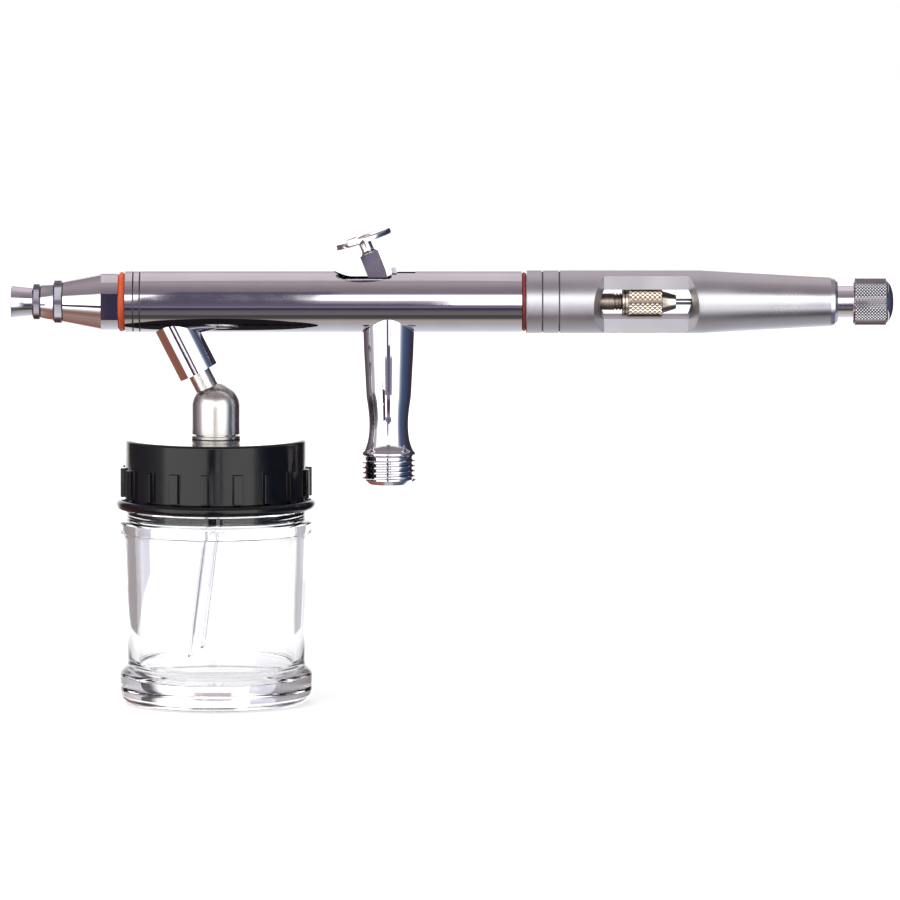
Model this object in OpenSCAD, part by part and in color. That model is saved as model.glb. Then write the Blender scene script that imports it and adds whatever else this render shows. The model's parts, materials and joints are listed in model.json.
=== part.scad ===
// Double-action airbrush with a siphon bottle, built from its separate pieces.
// Millimetres. Z is up, the nozzle points along -X, and the air valve hangs along -Z.
// The origin is on the air valve's axis, at the middle of the lowest crest of its hose thread.

/* [Barrel] */
// Outside diameter of the barrel
barrel_od = 11; // [10.4:0.1:12]
// Length of the barrel ahead of the air valve's axis
barrel_front = 46.9; // [46:0.1:52]
// Length of the barrel behind the air valve's axis, up to the handle's seal
barrel_rear = 23.75; // [23:0.05:28]
// Length of the threaded tail that the handle screws onto
tail_len = 6; // [4:0.5:8]
// Diameter of the threaded tail
tail_d = 9; // [8.4:0.1:9.4]
// Height of the barrel's axis above the origin
barrel_z = 31.28; // [30:0.01:36]
// Diameter of the passage that carries the needle and the paint
passage_d = 2.6; // [2:0.1:3]
// Diameter of the bore that holds the needle's spring case
rear_bore_d = 6.8; // [6.4:0.1:7.2]
// Width of each turned groove near the front end
groove_w = 0.25; // [0.1:0.05:0.4]
// Distance from the front end to the first groove
groove_first = 1.3; // [0.8:0.1:2]
// Distance between the two grooves
groove_gap = 1.2; // [0.8:0.1:2]

/* [Trigger slot] */
// Width of the slot that the trigger stands in
slot_w = 6.9; // [6:0.1:7.2]
// Reach of the slot ahead of the valve's axis
slot_front = 9.8; // [8:0.1:11]
// Reach of the wide part of the slot behind the valve's axis
slot_rear = 0.6; // [0.2:0.1:1]
// Width of the narrow part of the slot, for the stem and the rocker
narrow_w = 3.5; // [3.4:0.1:4]
// Reach of the narrow part behind the valve's axis
narrow_rear = 4.8; // [4.7:0.1:5]
// Depth of the wide slot below the barrel's axis
slot_depth = 2; // [1.6:0.1:2]
// Depth of the narrow slot below the barrel's axis
narrow_depth = 3.4; // [3.3:0.1:3.6]

/* [Head and caps] */
// Diameter of the head's shank inside the barrel
shank_d = 7.8; // [7:0.1:8]
// Length of the head's shank inside the barrel
shank_len = 4.4; // [3.5:0.1:5]
// Diameter of the head's collar
collar_d = 10.2; // [9.6:0.1:10.8]
// Length of the head's collar
collar_len = 3.05; // [2.5:0.05:4]
// Across the two spanner flats on the head's collar
collar_flats = 9; // [8.8:0.1:9.6]
// How far the head is screwed past square, which tips its flats
collar_turn = 8; // [0:1:45]
// Diameter of the big end of the head's cone
head_cone_big = 10; // [9.4:0.1:10.2]
// Diameter of the small end of the head's cone
head_cone_small = 7.26; // [7:0.02:8]
// Length of the head's cone
head_cone_len = 6.8; // [6:0.1:8]
// Diameter of the nozzle cap's knurled ring
nozzle_ring_d = 7.6; // [7.2:0.1:8]
// Length of the nozzle cap's knurled ring
nozzle_ring_len = 1.75; // [1.5:0.05:2.5]
// Length of the nozzle cap's cone
nozzle_cone_len = 2.25; // [1.8:0.05:3]
// Diameter of the needle cap's knurled ring
needle_ring_d = 6.36; // [6:0.02:6.6]
// Length of the needle cap's knurled ring
needle_ring_len = 1.4; // [1.2:0.05:2]
// Length of the needle cap's flared mouth
mouth_len = 3.85; // [3:0.05:4.5]
// Outside diameter of the flared mouth at its front
mouth_d = 5.72; // [5.4:0.02:6]
// Diameter of the hole that the fluid nozzle pokes through
air_hole_d = 1.8; // [1.8:0.1:2.2]
// Thickness of the sealing ring between the barrel and the head
seal_w = 1.2; // [1:0.05:1.4]
// Outside diameter of that sealing ring
seal_d = 10.6; // [10.4:0.1:10.8]

/* [Needle] */
// Diameter of the needle
needle_d = 1.1; // [1:0.05:1.3]
// Length of the needle's taper
needle_taper = 11; // [8:0.5:13]
// Reach of the needle's rear end behind the valve's axis
needle_rear = 54.2; // [53.5:0.1:54.4]
// Outside diameter of the needle's guide tube
guide_d = 2.94; // [2.6:0.02:3.2]
// Diameter of the guide tube's flange
guide_flange_d = 6.2; // [5.8:0.1:6.2]
// Reach of the guide tube's plain part behind the valve's axis
guide_rear = 40; // [39:0.1:41]
// Diameter of the chuck nut
nut_d = 5.5; // [5:0.1:6]
// Length of the chuck nut's knurled part
nut_len = 6.05; // [5:0.05:6.5]
// Length of the chuck nut's smooth collar
nut_collar_len = 1.1; // [0.8:0.1:1.6]
// Distance that the needle slides when the trigger is pulled right back
needle_travel = 1.5; // [1.2:0.1:1.5]
// Wire diameter of the needle's return spring
needle_wire = 0.4; // [0.3:0.05:0.5]

/* [Trigger] */
// Drop from the barrel's axis to the trigger's pivot
pivot_drop = 3.03; // [2.9:0.01:3.1]
// Length of the trigger's lower stem, from the pivot to the bend
lower_len = 8.67; // [8.4:0.01:9.4]
// Lean of the lower stem towards the nozzle
lower_lean = 14.4; // [13.5:0.1:15]
// Length of the trigger's upper stem
upper_len = 3.64; // [3:0.02:5]
// Lean of the upper stem and the neck towards the nozzle
upper_lean = 21.5; // [20:0.5:24]
// Length of the neck, up to the pad's underside
neck_len = 2.1; // [1.6:0.1:4]
// Diameter of the neck
neck_d = 2.3; // [2:0.1:2.8]
// Width of the stem seen from the side
stem_side = 3.4; // [3:0.1:3.4]
// Width of the stem seen from the front
stem_front = 3; // [2.8:0.1:3]
// Diameter of the finger pad
pad_d = 10.4; // [9:0.1:12]
// Thickness of the finger pad
pad_t = 1.2; // [1:0.1:1.6]
// Tilt of the finger pad
pad_tilt = 18.4; // [16:0.2:24]
// Distance that the trigger is pressed down
press_travel = 1.5; // [1:0.1:1.5]

/* [Air valve] */
// Crest diameter of the hose thread
thread_d = 9.728; // [9.6:0.002:9.8]
// Root diameter of the hose thread
thread_root_d = 8.566; // [8.4:0.002:8.7]
// Distance between thread crests
thread_pitch = 0.907; // [0.8:0.001:1]
// Number of thread crests
thread_crests = 4; // [3:1:4]
// Distance from the end face to the lowest crest's middle
thread_lead = 1.35; // [1:0.05:1.6]
// Diameter of the valve's neck above the thread
valve_neck_d = 7.14; // [6.8:0.02:8]
// Diameter of the valve's stem where its long taper starts
valve_waist_d = 8.2; // [7.8:0.1:9]
// Diameter of the valve where it meets the barrel
valve_top_d = 9.46; // [9:0.02:10]
// Diameter of the air bore
air_bore_d = 5; // [4.4:0.1:5.2]
// Diameter of the plunger's rod
rod_d = 1.9; // [1.6:0.1:2.2]
// Wire diameter of the valve's spring
valve_wire = 0.4; // [0.3:0.05:0.5]

/* [Handle] */
// Diameter of the handle
handle_d = 11.2; // [10.8:0.1:12]
// Length of the handle
handle_len = 55.5; // [55:0.1:60]
// Length of the handle's straight part
handle_straight = 31.1; // [30:0.1:36]
// Diameter of the handle's small end
handle_end_d = 8.68; // [8.4:0.02:9.6]
// Diameter of the handle's bore
handle_bore_d = 6.98; // [6.6:0.02:7.2]
// Distance between the two window flats
window_flats = 4.48; // [4:0.02:5]
// Distance from the handle's front end to the window
window_start = 12; // [11:0.1:13]
// Length of the window
window_len = 18.8; // [18:0.1:20]
// How far each end wall of the window leans over its depth
window_lean = 1.9; // [0.5:0.1:2.5]
// Turn of the handle about its own axis
handle_turn = 8; // [-20:1:20]
// Thickness of the seal between the barrel and the handle
handle_seal_w = 0.75; // [0.6:0.05:1]

/* [Preset knob] */
// Diameter of the preset knob
knob_d = 8.4; // [7.6:0.1:8.6]
// Length of the knob's knurled part
knob_len = 6.05; // [5:0.05:8]
// Diameter of the knob's neck
knob_neck_d = 5.74; // [5.4:0.02:6]
// Length of the neck that shows behind the handle
knob_neck_len = 2.75; // [2.6:0.05:4]
// Diameter of the stop rod in front of the knob
stop_d = 2.4; // [2:0.1:3]
// Gap between the needle's rear end and the stop rod
stop_gap = 4.3; // [4.2:0.1:6]
// Distance that the knob screws in from its place in the photograph
preset_travel = 2.2; // [1:0.1:2.2]

/* [Siphon stem] */
// Distance from the valve's axis forward to the siphon stem's root, on the barrel's axis
stem_ahead = 40.25; // [38:0.05:40.5]
// Tilt of the siphon stem from the vertical
stem_tilt = 27; // [20:0.5:30]
// Diameter of the siphon stem
stem_d = 7.36; // [7:0.02:8]
// Length of the siphon stem from the barrel's axis
stem_len = 14.07; // [13:0.01:15]
// Depth of the socket in the stem's end
socket_depth = 6; // [5:0.1:6.5]
// Diameter of the bottle's spigot
spigot_d = 4.1; // [3.8:0.1:4.4]
// Length from the barrel's axis to where the spigot's axis meets the bottle's
spigot_reach = 20.75; // [20.5:0.05:24]

/* [Bottle fitting] */
// Diameter of the elbow
elbow_d = 8.6; // [8:0.1:9]
// Height of the elbow's dome above the spigot's axis
elbow_above = 3.86; // [3.6:0.02:4.4]
// Depth of the elbow's body below the spigot's axis
elbow_below = 5.14; // [4.8:0.02:6]
// Height of the collar under the elbow
collar_h = 0.9; // [0.8:0.05:1.4]
// Diameter of the threaded nipple that passes through the cap
nipple_d = 5; // [4.6:0.1:5.4]
// Across the flats of the nut under the cap
cap_nut_af = 8; // [7.5:0.5:9]
// Height of the nut under the cap
cap_nut_h = 2; // [1.6:0.1:2.4]
// Outside diameter of the siphon tube
tube_d = 2.8; // [2.4:0.1:3]
// Bore of the siphon tube
tube_bore = 1.8; // [1.4:0.1:1.8]
// Length of the siphon tube's straight lower part
tube_len = 32.5; // [24:0.5:33]
// Tilt of the siphon tube towards the nozzle
tube_tilt = 7.0; // [0.2:0.2:8]

/* [Cap] */
// Diameter of the cap's upper part
cap_d = 32.4; // [32:0.1:33]
// Height of the cap
cap_h = 12.45; // [11.5:0.05:13]
// Thickness of the cap's top
cap_top_t = 1.6; // [1.2:0.1:2]
// Bore of the cap
cap_bore = 30.4; // [30:0.1:30.6]
// Number of grip ribs
rib_count = 18; // [12:1:28]
// Width of a grip rib
rib_w = 1.6; // [1.2:0.1:2]
// Diameter over the grip ribs
rib_d = 34.2; // [33.6:0.1:35]
// Depth from the cap's top to the ribs' upper ends
rib_start = 5.1; // [4:0.1:6]
// Height of the cap's bottom bead
bead_h = 1.9; // [1.4:0.1:2.4]
// Diameter of the cap's bottom bead
bead_d = 35.8; // [35.4:0.1:36.4]
// Thickness of the sealing liner
liner_t = 0.8; // [0.6:0.1:1]

/* [Jar] */
// Height of the jar
jar_h = 45; // [42:0.5:50]
// Diameter of the jar's neck inside the cap
jar_neck_d = 29.2; // [28:0.1:29.4]
// Diameter of the jar's mouth
jar_mouth_d = 24.8; // [22:0.1:25]
// Diameter of the jar's body below the shoulder
jar_body_top_d = 33.8; // [33:0.1:34.2]
// Diameter of the jar's body above the base
jar_body_low_d = 32.6; // [32:0.1:33.4]
// Diameter of the shoulder ring and the base
jar_d = 34.8; // [34.4:0.1:36]
// Bore of the jar's body
jar_bore = 29.6; // [28:0.1:30]
// Height of the thick base
jar_base_h = 6.5; // [5:0.1:8]
// Thickness of the glass floor
jar_floor = 4.2; // [3:0.1:6]
// Radius of the base's outer corner
jar_corner = 2.8; // [2:0.1:3.2]

/* [Fits] */
// Radial gap where one piece turns or slides in another
running_gap = 0.05; // [0.02:0.01:0.1]
// Gap between faces that only meet when the pieces move
free_gap = 0.3; // [0.2:0.05:0.4]

/* [Hidden] */
$fn = 48;
eps = 0.01;
touch = 0.02;

barrel_r = barrel_od / 2;

// Stations along the barrel, from the rear of the head forward
face_x = -barrel_front;
shank_rear_x = face_x + shank_len;
collar_rear_x = face_x - seal_w - 2 * touch;
collar_front_x = collar_rear_x - collar_len;
cone_front_x = collar_front_x - head_cone_len;
ring_front_x = cone_front_x - nozzle_ring_len;
nozzle_cap_x = ring_front_x - nozzle_cone_len;
needle_ring_x = nozzle_cap_x - needle_ring_len;
mouth_x = needle_ring_x - mouth_len;

// The needle's tip stays inside the flared mouth
tip_x = mouth_x + 0.6;
tip_len = 1.9;
nozzle_tip_x = tip_x + tip_len;
orifice_r = 0.25;
nozzle_wall = 0.25;
cap_nose_d = 4.1;
nose_x = needle_ring_x - 1.1;
cap_wall = 0.8;
seal_ring_t = 0.35;
nozzle_flange_t = 0.8;
nozzle_flange_d = 3.5;
spigot_head_d = 6;
spigot_head_len = 2.4;

// The needle packing sits ahead of the slot
packing_d = 3.8;
packing_len = 3.2;
packing_screw_len = 4.6;
packing_front_x = -slot_front - packing_len - packing_screw_len;

// The air channel runs beside the paint passage to the head
channel_d = 1.2;
channel_y = 2.4;
channel_drop = 2.75;
channel_end_x = -1.6;

// The trigger's pivot and the valve below it
pivot_z = barrel_z - pivot_drop;
ball_r = 1.15;
valve_spigot_d = 5.9;
valve_flare = 0.05;
valve_coil_r = 1.7;
valve_coil_turns = 9;
head_r = 2;
cup_bore_d = 4.4;
cup_floor_z = pivot_z - 4.6;
seat_z = pivot_z - 7;
head_top_z = pivot_z - 0.57;
head_t = 1.6;
o_ring_t = 0.6;
disc_t = 0.8;
disc_r = 2.05;
disc_low_z = seat_z - o_ring_t - disc_t - touch;
thread_top_z = thread_lead_top(thread_crests);
screw_len = 4;
screw_low_z = thread_top_z;
screw_top_z = screw_low_z + screw_len;

// The rocker behind the trigger
rocker_x = 2.75;
rocker_z = barrel_z - 2.75;
rocker_t = 0.9;
rocker_w = 3;
rocker_foot_r = 0.6;
rocker_lean = 11.6;
rocker_len = 9.2;
lobe_rise = 5.1;
lobe_r = 0.9;

// The needle's guide tube, spring and case
flange_x = rocker_x + lobe_out() + free_gap;
flange_t = 1;
case_front_x = flange_x + flange_t + needle_travel + free_gap;
case_d = rear_bore_d - 2 * running_gap;
case_wall = 0.6;
case_rear_x = barrel_rear + tail_len + 1;
case_end_t = 1.6;
guide_bore_d = guide_d + 2 * running_gap;
guide_thread_len = 1.6;
guide_thread_d = guide_d - 0.3;
nut_front_x = guide_rear + guide_thread_len;
nut_knurl_x = nut_front_x + nut_collar_len;
nut_rear_x = nut_knurl_x + nut_len;
nut_cone_len = 2.5;
nut_cone_r = 2.05;
needle_coil_r = 2.2;
needle_coil_turns = 10;
nut_mouth_d = 2.56;
nut_bore_d = 3.1;
collet_d = 2.2;

// The handle and the knob
handle_x = barrel_rear + handle_seal_w;
handle_end_x = handle_x + handle_len;
window_x = handle_x + window_start;
handle_wall_x = handle_end_x - 7;
neck_bore_d = knob_neck_d + 2 * running_gap;
knob_x = handle_end_x + knob_neck_len;
knob_rear_x = knob_x + knob_len;
stop_x = needle_rear + stop_gap;
knob_ring_t = 1.1;
knob_ring_x = handle_end_x - 2.6;
knob_groove_d = knob_neck_d - 1.2;

// The bottle hangs from the siphon stem
bottle_x = -stem_ahead + spigot_reach * sin(stem_tilt);
rib_turn = 95;
joint_z = barrel_z - spigot_reach * cos(stem_tilt);
dome_z = joint_z + elbow_above;
seam_z = joint_z - elbow_below;
cap_z = seam_z - collar_h;
cap_under_z = cap_z - cap_top_t;
cap_low_z = cap_z - cap_h;
rim_z = cap_under_z - liner_t - touch;
jar_z = rim_z - jar_h;
nut_low_z = cap_under_z - cap_nut_h;
nipple_low_z = nut_low_z - 1;
spigot_bore_d = 2.2;
tube_seat = 3;
tube_bend_r = 60;
tube_cut_tilt = 45;
tube_cut = [16, 10, 6];

// The jar's shoulder, ring and neck, measured down from its rim
ring_drop = 14.2;
ring_h = 2.1;
hollow_drop = 14;
thread_drop = 11.9;
thread_band_h = 1.6;
thread_band_out = 1.5;

function thread_lead_top(n) = (n - 1) * thread_pitch + 1.3;
function lobe_out() = lobe_r - lobe_rise * sin(rocker_lean) + 0.95;

// Points of a polyhedron swept round a circle while it climbs, with flat ends
function coil_ring(a, r, z, wire, sides) = [
    for (i = [0 : sides - 1])
        let (b = 360 * i / sides, d = r + wire / 2 * cos(b))
            [d * cos(a), d * sin(a), z + wire / 2 * sin(b)]
];
function coil_points(r, wire, height, turns, steps, sides) = [
    for (s = [0 : steps])
        let (f = s / steps)
            each coil_ring(360 * turns * f, r, wire / 2 + (height - wire) * f, wire, sides)
];
function coil_faces(steps, sides) = concat(
    [[for (i = [sides - 1 : -1 : 0]) i]],
    [
        for (s = [0 : steps - 1], i = [0 : sides - 1])
            let (j = (i + 1) % sides)
                [s * sides + j, (s + 1) * sides + j, (s + 1) * sides + i, s * sides + i]
    ],
    [[for (i = [0 : sides - 1]) steps * sides + i]]
);

// A coil spring that stands on Z = 0
module coil(r, wire, height, turns) {
    steps = turns * 14;
    polyhedron(coil_points(r, wire, height, turns, steps, 8), coil_faces(steps, 8));
}

// A turned piece on the barrel's axis, from points of radius and X
module turned(points) {
    translate([0, 0, barrel_z])
        rotate([0, 90, 0])
            rotate_extrude()
                polygon(points);
}

// A plain round bar on the barrel's axis, between two X stations
module bar(d, x_low, x_high) {
    translate([x_low, 0, barrel_z])
        rotate([0, 90, 0])
            cylinder(d = d, h = x_high - x_low);
}

// A sealing ring on the barrel's axis
module seal_ring(d_out, width, x_mid) {
    translate([x_mid, 0, barrel_z])
        rotate([0, 90, 0])
            rotate_extrude()
                translate([(d_out - width) / 2, 0])
                    circle(d = width);
}

// Places its children on the siphon stem's axis, with Z pointing down the stem
module down_stem(distance) {
    translate([-stem_ahead, 0, barrel_z])
        rotate([0, 180 - stem_tilt, 0])
            translate([0, 0, distance])
                children();
}

module barrel() {
    color("gainsboro")
        difference() {
            union() {
                bar(barrel_od, face_x, barrel_rear);
                bar(tail_d, barrel_rear - eps, barrel_rear + tail_len);
            }
            for (i = [0, 1])
                groove(face_x + groove_first + i * groove_gap);
            bar(shank_d + 2 * running_gap, face_x - eps, shank_rear_x + 0.2);
            bar(passage_d, face_x, 0);
            bar(packing_d + 2 * touch, packing_front_x - touch, 0);
            bar(rear_bore_d, flange_x - free_gap, barrel_rear + tail_len + eps);
            down_stem(0)
                cylinder(d = spigot_bore_d, h = barrel_r + 4);
            air_channel();
            trigger_slot();
            translate([0, 0, barrel_z - narrow_depth - 4])
                cylinder(d = valve_spigot_d + 2 * running_gap, h = 4);
        }
}

module groove(x) {
    turned([
        [barrel_r - 0.2, x],
        [barrel_r + 1, x],
        [barrel_r + 1, x + groove_w],
        [barrel_r - 0.2, x + groove_w]
    ]);
}

module air_channel() {
    translate([face_x + 1, channel_y, barrel_z - channel_drop])
        rotate([0, 90, 0])
            cylinder(d = channel_d, h = channel_end_x - face_x - 1);
}

module trigger_slot() {
    slot_r = slot_w / 2;
    corner = 1;
    translate([0, 0, barrel_z - slot_depth]) {
        translate([slot_r - slot_front, 0, 0])
            cylinder(r = slot_r, h = barrel_od);
        translate([slot_r - slot_front, -slot_r, 0])
            cube([slot_front + slot_rear - slot_r - corner, slot_w, barrel_od]);
        translate([-1, corner - slot_r, 0])
            cube([1 + slot_rear, slot_w - 2 * corner, barrel_od]);
        for (side = [-1, 1])
            translate([slot_rear - corner, side * (slot_r - corner), 0])
                cylinder(r = corner, h = barrel_od);
    }
    translate([-4.4, -narrow_w / 2, barrel_z - narrow_depth])
        cube([4.4 + rocker_x, narrow_w, barrel_od]);
    translate([rocker_x - eps, -narrow_w / 2, rocker_z])
        cube([narrow_rear - rocker_x, narrow_w, barrel_od]);
    translate([rocker_x, narrow_w / 2, rocker_z])
        rotate([90, 0, 0])
            cylinder(r = rocker_foot_r + running_gap, h = narrow_w);
}

module siphon_stem() {
    color("gainsboro")
        difference() {
            down_stem(0)
                cylinder(d = stem_d, h = stem_len);
            bar(barrel_od + 2 * touch, face_x, 0);
            down_stem(0)
                cylinder(d = spigot_bore_d, h = stem_len);
            down_stem(stem_len - socket_depth)
                cylinder(d = spigot_d + 2 * running_gap, h = socket_depth + eps);
        }
}

module front_o_ring() {
    color("orangered")
        seal_ring(seal_d, seal_w, face_x - seal_w / 2 - touch);
}

module head() {
    color("silver")
        difference() {
            union() {
                bar(shank_d, collar_rear_x - eps, shank_rear_x);
                intersection() {
                    bar(collar_d, collar_front_x, collar_rear_x);
                    translate([collar_front_x, 0, barrel_z])
                        rotate([collar_turn, 0, 0])
                            translate([0, -collar_flats / 2, -collar_d])
                                cube([collar_len, collar_flats, 2 * collar_d]);
                }
                turned([
                    [0, cone_front_x],
                    [head_cone_small / 2, cone_front_x],
                    [head_cone_big / 2, collar_front_x + eps],
                    [0, collar_front_x + eps]
                ]);
                bar(spigot_head_d, cone_front_x - spigot_head_len, cone_front_x + eps);
            }
            bar(passage_d, cone_front_x - spigot_head_len - eps, shank_rear_x + eps);
            for (a = [0 : 90 : 270])
                translate([0, 0, barrel_z])
                    rotate([a + 45, 0, 0])
                        translate([cone_front_x - spigot_head_len - eps, 0, 2.3])
                            rotate([0, 90, 0])
                                cylinder(d = 0.8, h = shank_rear_x - cone_front_x + spigot_head_len + 1);
        }
}

module nozzle_seal() {
    color("ivory")
        turned([
            [passage_d / 2 - 0.1, seat_face_x() - seal_ring_t],
            [nozzle_flange_d / 2, seat_face_x() - seal_ring_t],
            [nozzle_flange_d / 2, seat_face_x()],
            [passage_d / 2 - 0.1, seat_face_x()]
        ]);
}

// Front face of the head's spigot, which the nozzle seats on
function seat_face_x() = cone_front_x - spigot_head_len - touch;

module fluid_nozzle() {
    flange_front = seat_face_x() - seal_ring_t - touch - nozzle_flange_t;
    flange_back = flange_front + nozzle_flange_t;
    bore_r = needle_d / 2 + nozzle_wall;
    color("goldenrod")
        turned([
            [orifice_r, nozzle_tip_x],
            [orifice_r + nozzle_wall, nozzle_tip_x],
            [1.15, flange_front],
            [nozzle_flange_d / 2, flange_front],
            [nozzle_flange_d / 2, flange_back],
            [passage_d / 2 - 0.15, flange_back],
            [passage_d / 2 - 0.15, flange_back + 2.6],
            [bore_r, flange_back + 2.6],
            [bore_r, flange_front + 0.4]
        ]);
}

module nozzle_cap() {
    inner_x = ring_front_x - 0.9;
    color("silver")
        difference() {
            union() {
                bar(nozzle_ring_d, ring_front_x, cone_front_x - touch);
                turned([
                    [0, nozzle_cap_x],
                    [2.98, nozzle_cap_x],
                    [3.3, ring_front_x + eps],
                    [0, ring_front_x + eps]
                ]);
                bar(cap_nose_d, nose_x, nozzle_cap_x + eps);
            }
            bar(spigot_head_d + 2 * running_gap, inner_x, cone_front_x);
            bar(nozzle_flange_d + free_gap, nozzle_cap_x + 0.2, inner_x + eps);
            bar(cap_nose_d - 1.2, nose_x + cap_wall, inner_x + eps);
            bar(air_hole_d, nose_x - eps, nose_x + cap_wall + eps);
        }
}

module needle_cap() {
    color("silver")
        difference() {
            turned([
                [0, mouth_x],
                [mouth_d / 2, mouth_x],
                [2.5, needle_ring_x],
                [needle_ring_d / 2, needle_ring_x],
                [needle_ring_d / 2, nozzle_cap_x - touch],
                [0, nozzle_cap_x - touch]
            ]);
            bar(cap_nose_d + 2 * running_gap, nose_x - 0.4, nozzle_cap_x);
            turned([
                [0, mouth_x - eps],
                [mouth_d / 2 - 0.35, mouth_x - eps],
                [1.7, nose_x - 0.4 + eps],
                [0, nose_x - 0.4 + eps]
            ]);
        }
}

module needle_packing() {
    color("ivory")
        difference() {
            bar(packing_d, packing_front_x, packing_front_x + packing_len);
            bar(needle_d + 2 * running_gap, packing_front_x - eps, packing_front_x + packing_len + eps);
        }
}

module packing_screw() {
    low_x = packing_front_x + packing_len + touch;
    high_x = low_x + packing_screw_len - 0.6;
    color("darkgoldenrod")
        difference() {
            bar(packing_d, low_x, high_x);
            bar(needle_d + 0.5, low_x - eps, high_x + eps);
            translate([high_x - 0.8, -packing_d, barrel_z - 0.35])
                cube([1, 2 * packing_d, 0.7]);
        }
}

// Outline of the air valve's body, from the end face up to the barrel
module valve_outline() {
    root_r = thread_root_d / 2;
    crest_r = thread_d / 2;
    collar_low = thread_top_z;
    union() {
        polygon([
            [0, -thread_lead],
            [root_r - 0.78, -thread_lead],
            [root_r, -thread_lead + 0.8],
            [root_r, collar_low - 0.4],
            [crest_r, collar_low],
            [crest_r - 0.1, collar_low + 0.5],
            [4.4, collar_low + 0.9],
            [3.95, collar_low + 2],
            [valve_neck_d / 2 + 0.13, collar_low + 3.3],
            [valve_neck_d / 2, collar_low + 4.7],
            [valve_neck_d / 2, collar_low + 6.2],
            [valve_waist_d / 2, collar_low + 10.2],
            [valve_top_d / 2, barrel_z - barrel_r - 0.4],
            [valve_top_d / 2 + valve_flare, barrel_z],
            [0, barrel_z]
        ]);
        for (i = [0 : thread_crests - 1])
            polygon([
                [root_r - 0.1, i * thread_pitch - 0.42],
                [crest_r, i * thread_pitch - 0.13],
                [crest_r, i * thread_pitch + 0.13],
                [root_r - 0.1, i * thread_pitch + 0.42]
            ]);
    }
}

module valve_body() {
    color("gainsboro")
        difference() {
            union() {
                difference() {
                    rotate_extrude()
                        valve_outline();
                    bar(barrel_od + 2 * touch, -barrel_od, barrel_od);
                }
                translate([0, 0, barrel_z - barrel_r - 1])
                    cylinder(d = valve_spigot_d, h = barrel_r + 1 - narrow_depth - touch);
            }
            translate([0, 0, cup_floor_z])
                cylinder(d = cup_bore_d, h = barrel_od);
            translate([0, 0, seat_z - eps])
                cylinder(d = rod_d + 2 * running_gap, h = barrel_od);
            translate([0, 0, -thread_lead - eps])
                cylinder(d = air_bore_d, h = seat_z + thread_lead + eps);
        }
}

module valve_screw() {
    color("darkgoldenrod")
        translate([0, 0, screw_low_z])
            difference() {
                cylinder(d = air_bore_d - 2 * touch, h = screw_len);
                translate([0, 0, -eps])
                    cylinder(d = 2, h = screw_len + 1);
                translate([-air_bore_d, -0.4, -eps])
                    cube([2 * air_bore_d, 0.8, 1]);
            }
}

module valve_spring() {
    color("silver")
        translate([0, 0, screw_top_z + touch])
            coil(valve_coil_r, valve_wire, disc_low_z - screw_top_z - 2 * touch, valve_coil_turns);
}

module valve_plunger() {
    color("darkgoldenrod")
        difference() {
            union() {
                translate([0, 0, head_top_z - head_t])
                    cylinder(r = head_r, h = head_t);
                translate([0, 0, disc_low_z])
                    cylinder(d = rod_d, h = head_top_z - head_t - disc_low_z + eps);
                translate([0, 0, disc_low_z])
                    cylinder(r = disc_r, h = disc_t);
                translate([0, 0, disc_low_z - 1])
                    cylinder(d = 2.4, h = 1 + eps);
            }
            translate([0, 0, pivot_z])
                sphere(r = ball_r + running_gap);
        }
}

module valve_o_ring() {
    color("black")
        translate([0, 0, seat_z - o_ring_t - touch / 2])
            difference() {
                cylinder(r = disc_r, h = o_ring_t);
                translate([0, 0, -eps])
                    cylinder(d = rod_d + 2 * touch, h = 1);
            }
}

// Places its children at the trigger's bend, along the upper stem
module at_bend() {
    translate([-lower_len * sin(lower_lean), 0, pivot_z + lower_len * cos(lower_lean)])
        rotate([0, -upper_lean, 0])
            children();
}

module trigger() {
    tongue = 2.3;
    pad_r = pad_d / 2;
    neck_foot = 0.7;
    color("gainsboro")
        difference() {
            union() {
                translate([0, 0, pivot_z]) {
                    sphere(r = ball_r);
                    rotate([0, -lower_lean, 0]) {
                        translate([-1.1, -1.2, 0])
                            cube([2.2, 2.4, lower_len]);
                        translate([-stem_side / 2, -stem_front / 2, tongue])
                            cube([stem_side, stem_front, lower_len - tongue]);
                    }
                }
                at_bend() {
                    rotate([90, 0, 0])
                        cylinder(d = stem_side, h = stem_front, center = true);
                    translate([-stem_side / 2, -stem_front / 2, 0])
                        cube([stem_side, stem_front, upper_len]);
                    translate([0, 0, upper_len - eps])
                        cylinder(d1 = stem_front - 0.2, d2 = neck_d, h = neck_foot);
                    translate([0, 0, upper_len])
                        cylinder(d = neck_d, h = neck_len + 0.4);
                    translate([0, 0, upper_len + neck_len])
                        rotate([0, upper_lean - pad_tilt, 0])
                            rotate_extrude()
                                polygon([
                                    [0, -0.1],
                                    [1.6, -0.1],
                                    [pad_r - 0.35, 0.1],
                                    [pad_r, 0.3],
                                    [pad_r, 0.95],
                                    [pad_r - 0.25, pad_t],
                                    [1.2, pad_t - 0.3],
                                    [0.9, pad_t],
                                    [0, pad_t + 0.15]
                                ]);
                }
            }
            translate([-8, -needle_d / 2 - 0.2, barrel_z - 1.45])
                cube([14, needle_d + 0.4, 4.6]);
        }
}

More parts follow.
